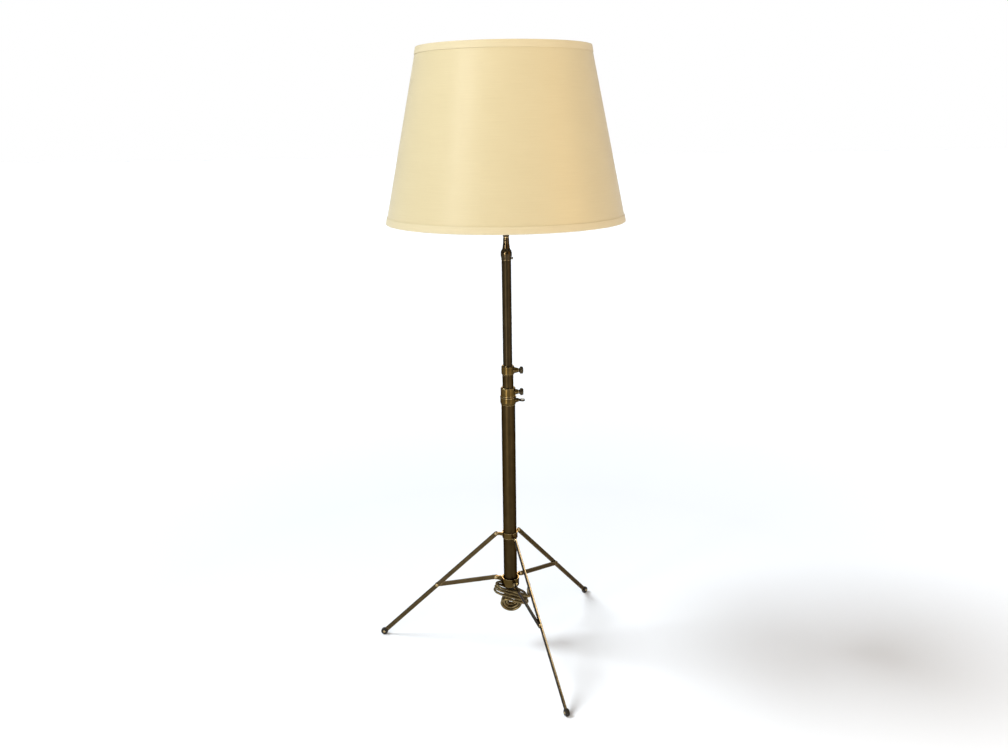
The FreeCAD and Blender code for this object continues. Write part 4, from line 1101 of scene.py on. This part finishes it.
@dataclass
class CordPlug:
    """Grip ribs of the plug and its pierced blades."""

    place: Triple = (0.0398, 0.0, 0.116783)
    body_length: float = 0.017
    body_thickness: float = 0.009
    rib_count: int = 7
    rib_pitch: float = 0.0014
    rib_radius: float = 0.00045
    rib_length: float = 0.0105
    blade_length: float = 0.0159
    blade_width: float = 0.00635
    blade_thickness: float = 0.0015
    blade_spacing: float = 0.0127
    blade_corner: float = 0.0014
    hole_radius: float = 0.0015
    hole_from_tip: float = 0.0042
    softening: float = 0.00018
    sharp_angle: float = math.radians(50.0)
    side_steps: int = 5
    corner_steps: int = 6

    def _outline(self) -> list[Pair]:
        """Blade's edge about its hole, anticlockwise from the root's right end."""
        half = self.blade_width / 2.0
        foot = self.hole_from_tip - self.blade_length
        side_ways = [foot * step / self.side_steps for step in range(self.side_steps + 1)]
        points = [(half, way) for way in reversed(side_ways)]
        for side, first in ((1.0, 0.0), (-1.0, 90.0)):
            middle = (side * (half - self.blade_corner), self.hole_from_tip - self.blade_corner)
            for step in range(self.corner_steps + 1):
                angle = math.radians(first + 90.0 * step / self.corner_steps)
                points.append((middle[0] + self.blade_corner * math.cos(angle),
                               middle[1] + self.blade_corner * math.sin(angle)))
        return points + [(-half, way) for way in side_ways] + [(0.0, foot)]

    def _blades(self) -> bpy.types.Object:
        """Both blades, each with the hole near its tip."""
        maker = bmesh.new()
        outline = self._outline()
        hole_way = self.place[1] + self.body_length + self.blade_length - self.hole_from_tip
        for side in (-0.5, 0.5):
            rings = []
            for level in (-0.5, 0.5):
                height = self.place[2] + side * self.blade_spacing + level * self.blade_thickness
                outer = [maker.verts.new((self.place[0] + x, hole_way + y, height))
                         for x, y in outline]
                inner = []
                for x, y in outline:
                    scale = self.hole_radius / math.hypot(x, y)
                    spot = (self.place[0] + x * scale, hole_way + y * scale, height)
                    inner.append(maker.verts.new(spot))
                rings.append((outer, inner))
            (low_outer, low_inner), (high_outer, high_inner) = rings
            loops = (low_inner, low_outer, high_outer, high_inner)
            for loop, following in zip(loops, loops[1:] + loops[:1]):
                join(maker, loop, following, False)
        bmesh.ops.recalc_face_normals(maker, faces=maker.faces)
        blades = bake(maker, "pierced_blades", BRIGHT_BRASS)
        softened = blades.modifiers.new("edges", "BEVEL")
        softened.width = self.softening
        softened.segments = 2
        softened.limit_method = "ANGLE"
        softened.angle_limit = self.sharp_angle
        return blades

    def build(self) -> list[bpy.types.Object]:
        """Make the ribs and the blades."""
        x, y, z = self.place
        ribs = rib_weaver().make("plug_ribs", PLUG_PLASTIC, spread=self.body_thickness,
                                 pitch=self.rib_pitch, count=self.rib_count, radius=self.rib_radius,
                                 length=self.rib_length, middle_x=x,
                                 middle_y=y + self.body_length / 2.0, middle_z=z)
        blades = self._blades()
        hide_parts("plug_blades")
        return [report(ribs, "base"), report(blades, "base")]


# Shade

@dataclass
class LampShade:
    """Cloth drum on a white lining, with its hem tapes.

    The tapes' steps are ways from the shade's edge and depths, in millimetres.
    """

    top_radius: float = 0.1615
    bottom_radius: float = 0.2286
    top_height: float = 1.225583
    bottom_height: float = 0.908683
    cloth_depth: float = 0.00055
    cloth_thickness: float = 0.00045
    lining_depth: float = 0.00106
    lining_thickness: float = 0.0005
    edge_inset: float = 0.0007
    columns: int = 361
    strip_columns: int = 9
    rows: int = 34
    seam_angle: float = math.radians(78.0)
    seam_width: float = 0.011
    seam_thickness: float = 0.0004
    tape_thickness: float = 0.0005
    tape_steps: tuple[Pair, ...] = (
        (12.5, 0.34), (12.3, 0.2), (12.0, 0.08), (11.5, 0.02), (9.0, 0.0), (5.0, 0.0), (2.0, 0.0),
        (0.8, 0.02), (0.25, 0.22), (0.03, 0.7), (0.0, 1.6), (0.0, 3.0), (0.05, 4.2), (0.3, 4.75),
        (1.0, 5.1), (2.2, 5.1), (3.2, 4.6), (4.0, 3.6), (4.8, 2.6), (5.8, 2.25), (7.5, 2.2),
        (9.0, 2.2))

    def __post_init__(self) -> None:
        """Work out the wall's direction."""
        run = self.bottom_radius - self.top_radius
        fall = self.top_height - self.bottom_height
        self.slant = math.hypot(run, fall)
        self.run_share = run / self.slant
        self.fall_share = fall / self.slant

    def on_wall(self, along: float, depth: float) -> Pair:
        """Radius and height of a point, from the top edge down and from the outside in."""
        radius = self.top_radius + self.run_share * along - self.fall_share * depth
        return (radius, self.top_height - self.fall_share * along - self.run_share * depth)

    def _wall(self, weaver: Weaver, name: str, finish: Finish, depth: float, thickness: float,
              strip: float = 0.0) -> bpy.types.Object:
        """One round wall, or a strip up it.

        Args:
            weaver: Tree of the wall.
            name: Name of the piece.
            finish: Its finish.
            depth: Depth of its outside below the tape's.
            thickness: Its thickness.
            strip: Width of a strip, or 0 for the whole round.

        Returns:
            The piece.
        """
        top_radius, top_height = self.on_wall(self.edge_inset, depth)
        bottom_radius, bottom_height = self.on_wall(self.slant - self.edge_inset, depth)
        wall = weaver.make(name, finish, top_radius=top_radius, bottom_radius=bottom_radius,
                           top_height=top_height, bottom_height=bottom_height,
                           middle_angle=self.seam_angle, sweep=0.0 if strip else 2.0 * math.pi,
                           width=strip, columns=self.strip_columns if strip else self.columns,
                           rows=self.rows)
        thicken(wall, thickness)
        return report(wall, "upper")

    def _tape(self, name: str, from_bottom: bool) -> bpy.types.Object:
        """Folded hem tape over one edge of the shade.

        Args:
            name: Name of the piece.
            from_bottom: Whether it is the bottom edge's.

        Returns:
            The piece.
        """
        profile = []
        for along, depth in self.tape_steps:
            way = self.slant - along / 1000 if from_bottom else along / 1000
            profile.append(self.on_wall(way, depth / 1000))
        if not from_bottom:
            profile.reverse()

        def ripple(angle: float, way: float) -> float:
            """Slight unevenness of the glued tape."""
            slow = math.sin(angle * 37.0 + way * 300.0) + math.sin(angle * 61.0 + 1.7)
            return 0.00003 * slow + 0.00002 * math.sin(angle * 173.0 + way * 900.0)

        tape = turned(name, SHADE_TAPE, profile, self.columns - 1, ripple)
        thicken(tape, self.tape_thickness)
        return report(tape, "upper")

    def build(self) -> list[bpy.types.Object]:
        """Make the shade's pieces and return them."""
        weaver = wall_weaver()
        cloth = self._wall(weaver, "shade_cloth", SHADE_CLOTH, self.cloth_depth, self.cloth_thickness)
        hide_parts("shade_fabric")
        lining = self._wall(weaver, "shade_lining", LINING, self.lining_depth, self.lining_thickness)
        seam = self._wall(weaver, "shade_seam", SHADE_CLOTH, self.cloth_depth - self.seam_thickness,
                          self.seam_thickness, self.seam_width)
        pieces = [cloth, lining, seam]
        for name, from_bottom in (("shade_top_tape", False), ("shade_bottom_tape", True)):
            tape = self._tape(name.replace("shade", "hem"), from_bottom)
            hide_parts(name)
            pieces.append(tape)
        return pieces


# Fine details of the lamp holder and the post

@dataclass
class HolderTrim:
    """Rolled beads of the holder's shell, its key's grips and the thread above the neck."""

    shell_radius: float = 0.01628
    bead_radius: float = 0.0005
    bead_heights: tuple[float, ...] = (0.9079, 0.9100, 0.9462)
    bead_steps: int = 12
    bead_faces: int = 96
    key_middle: Triple = (0.0, -0.0298, 0.91628)
    key_thickness: float = 0.0036
    key_ribs: int = 6
    key_pitch: float = 0.0014
    key_rib_radius: float = 0.0004
    key_rib_length: float = 0.0088
    thread_radius: float = 0.0051
    thread_pitch: float = 0.00094
    thread_foot: float = 0.87708
    thread_turns: float = 1.2
    thread_ridge: float = 0.0002
    thread_steps: int = 48

    def _bead(self, name: str, height: float) -> bpy.types.Object:
        """One half-round bead round the shell."""
        profile = []
        for step in range(self.bead_steps + 1):
            angle = math.pi * (2.0 * step / self.bead_steps - 0.5)
            profile.append((self.shell_radius + self.bead_radius * math.cos(angle),
                            height + self.bead_radius * math.sin(angle)))
        return report(turned(name, BRIGHT_BRASS, profile, self.bead_faces), "upper")

    def build(self) -> None:
        """Make the beads, the grips and the thread."""
        for number, height in enumerate(self.bead_heights, 1):
            self._bead("shell_bead_%d" % number, height)
        x, y, z = self.key_middle
        grips = rib_weaver().make("key_grips", BLACK_PLASTIC, spread=self.key_thickness,
                                  pitch=self.key_pitch, count=self.key_ribs,
                                  radius=self.key_rib_radius, length=self.key_rib_length,
                                  roll=math.pi / 2.0, middle_x=x, middle_y=y, middle_z=z)
        report(grips, "switch_key")
        thread = thread_weaver().make("nipple_thread", PLATED_STEEL, radius=self.thread_radius,
                                      pitch=self.thread_pitch, turns=self.thread_turns,
                                      foot=self.thread_foot, ridge=self.thread_ridge,
                                      steps=self.thread_steps)
        report(thread, "upper")


# Construction nodes that keep their shape

NODE_FINISHES: dict[Finish, tuple[str, ...]] = {
    BRONZE: ("lower_tube", "mid_tube"),
    SHADED_UPPER_BRONZE: ("upper_tube",),
    LEG_BRONZE: thrice("leg", "brace"),
    NECK_BRONZE: ("neck", "neck_set_screw", "check_ring"),
    AGED_BRASS: ("lower_hub", "upper_hub", "lower_collar", "lower_clamp", "upper_clamp", "harp_stud",
                 "finial"),
    DARK_BRASS: ("lower_clamp_screw", "lower_lock_screw", "upper_clamp_screw"),
    BRIGHT_BRASS: ("harp_ferrule_left", "harp_ferrule_right", "holder_cap", "holder_shell",
                   "screw_shell"),
    RIVET_STEEL: ("lower_hub_rivets", *thrice("leg_rivets")),
    PLATED_STEEL: ("tube_plug", "lock_nut", "nipple", "harp_saddle", "harp", "shade_spider",
                   "shade_bottom_ring"),
    CAP_METAL: ("lamp_base",),
    WHITE_GLASS: ("lamp_glass",),
    FOOT_RUBBER: thrice("foot"),
    NYLON: ("mid_guide", "upper_guide"),
    FIBRE: ("holder_liner",),
    BLACK_PLASTIC: ("cord_bush", "holder_body", "switch_key"),
    PLUG_PLASTIC: ("plug_body",),
}


def dress_nodes() -> None:
    """Give the construction nodes that stay their finishes."""
    for finish, names in NODE_FINISHES.items():
        for name in names:
            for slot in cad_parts[name].material_slots:
                slot.material = PAINT.get(finish)
            log.info("%s is finished in %s", name, finish.name)


def main() -> None:
    """Build the lamp in order."""
    logging.basicConfig(level=logging.INFO, format="%(message)s")
    studio = Studio()
    studio.build()
    PowerCord().build()
    studio.light_shade(LampShade().build())
    HolderTrim().build()
    dress_nodes()


if __name__ == "__main__":
    main()
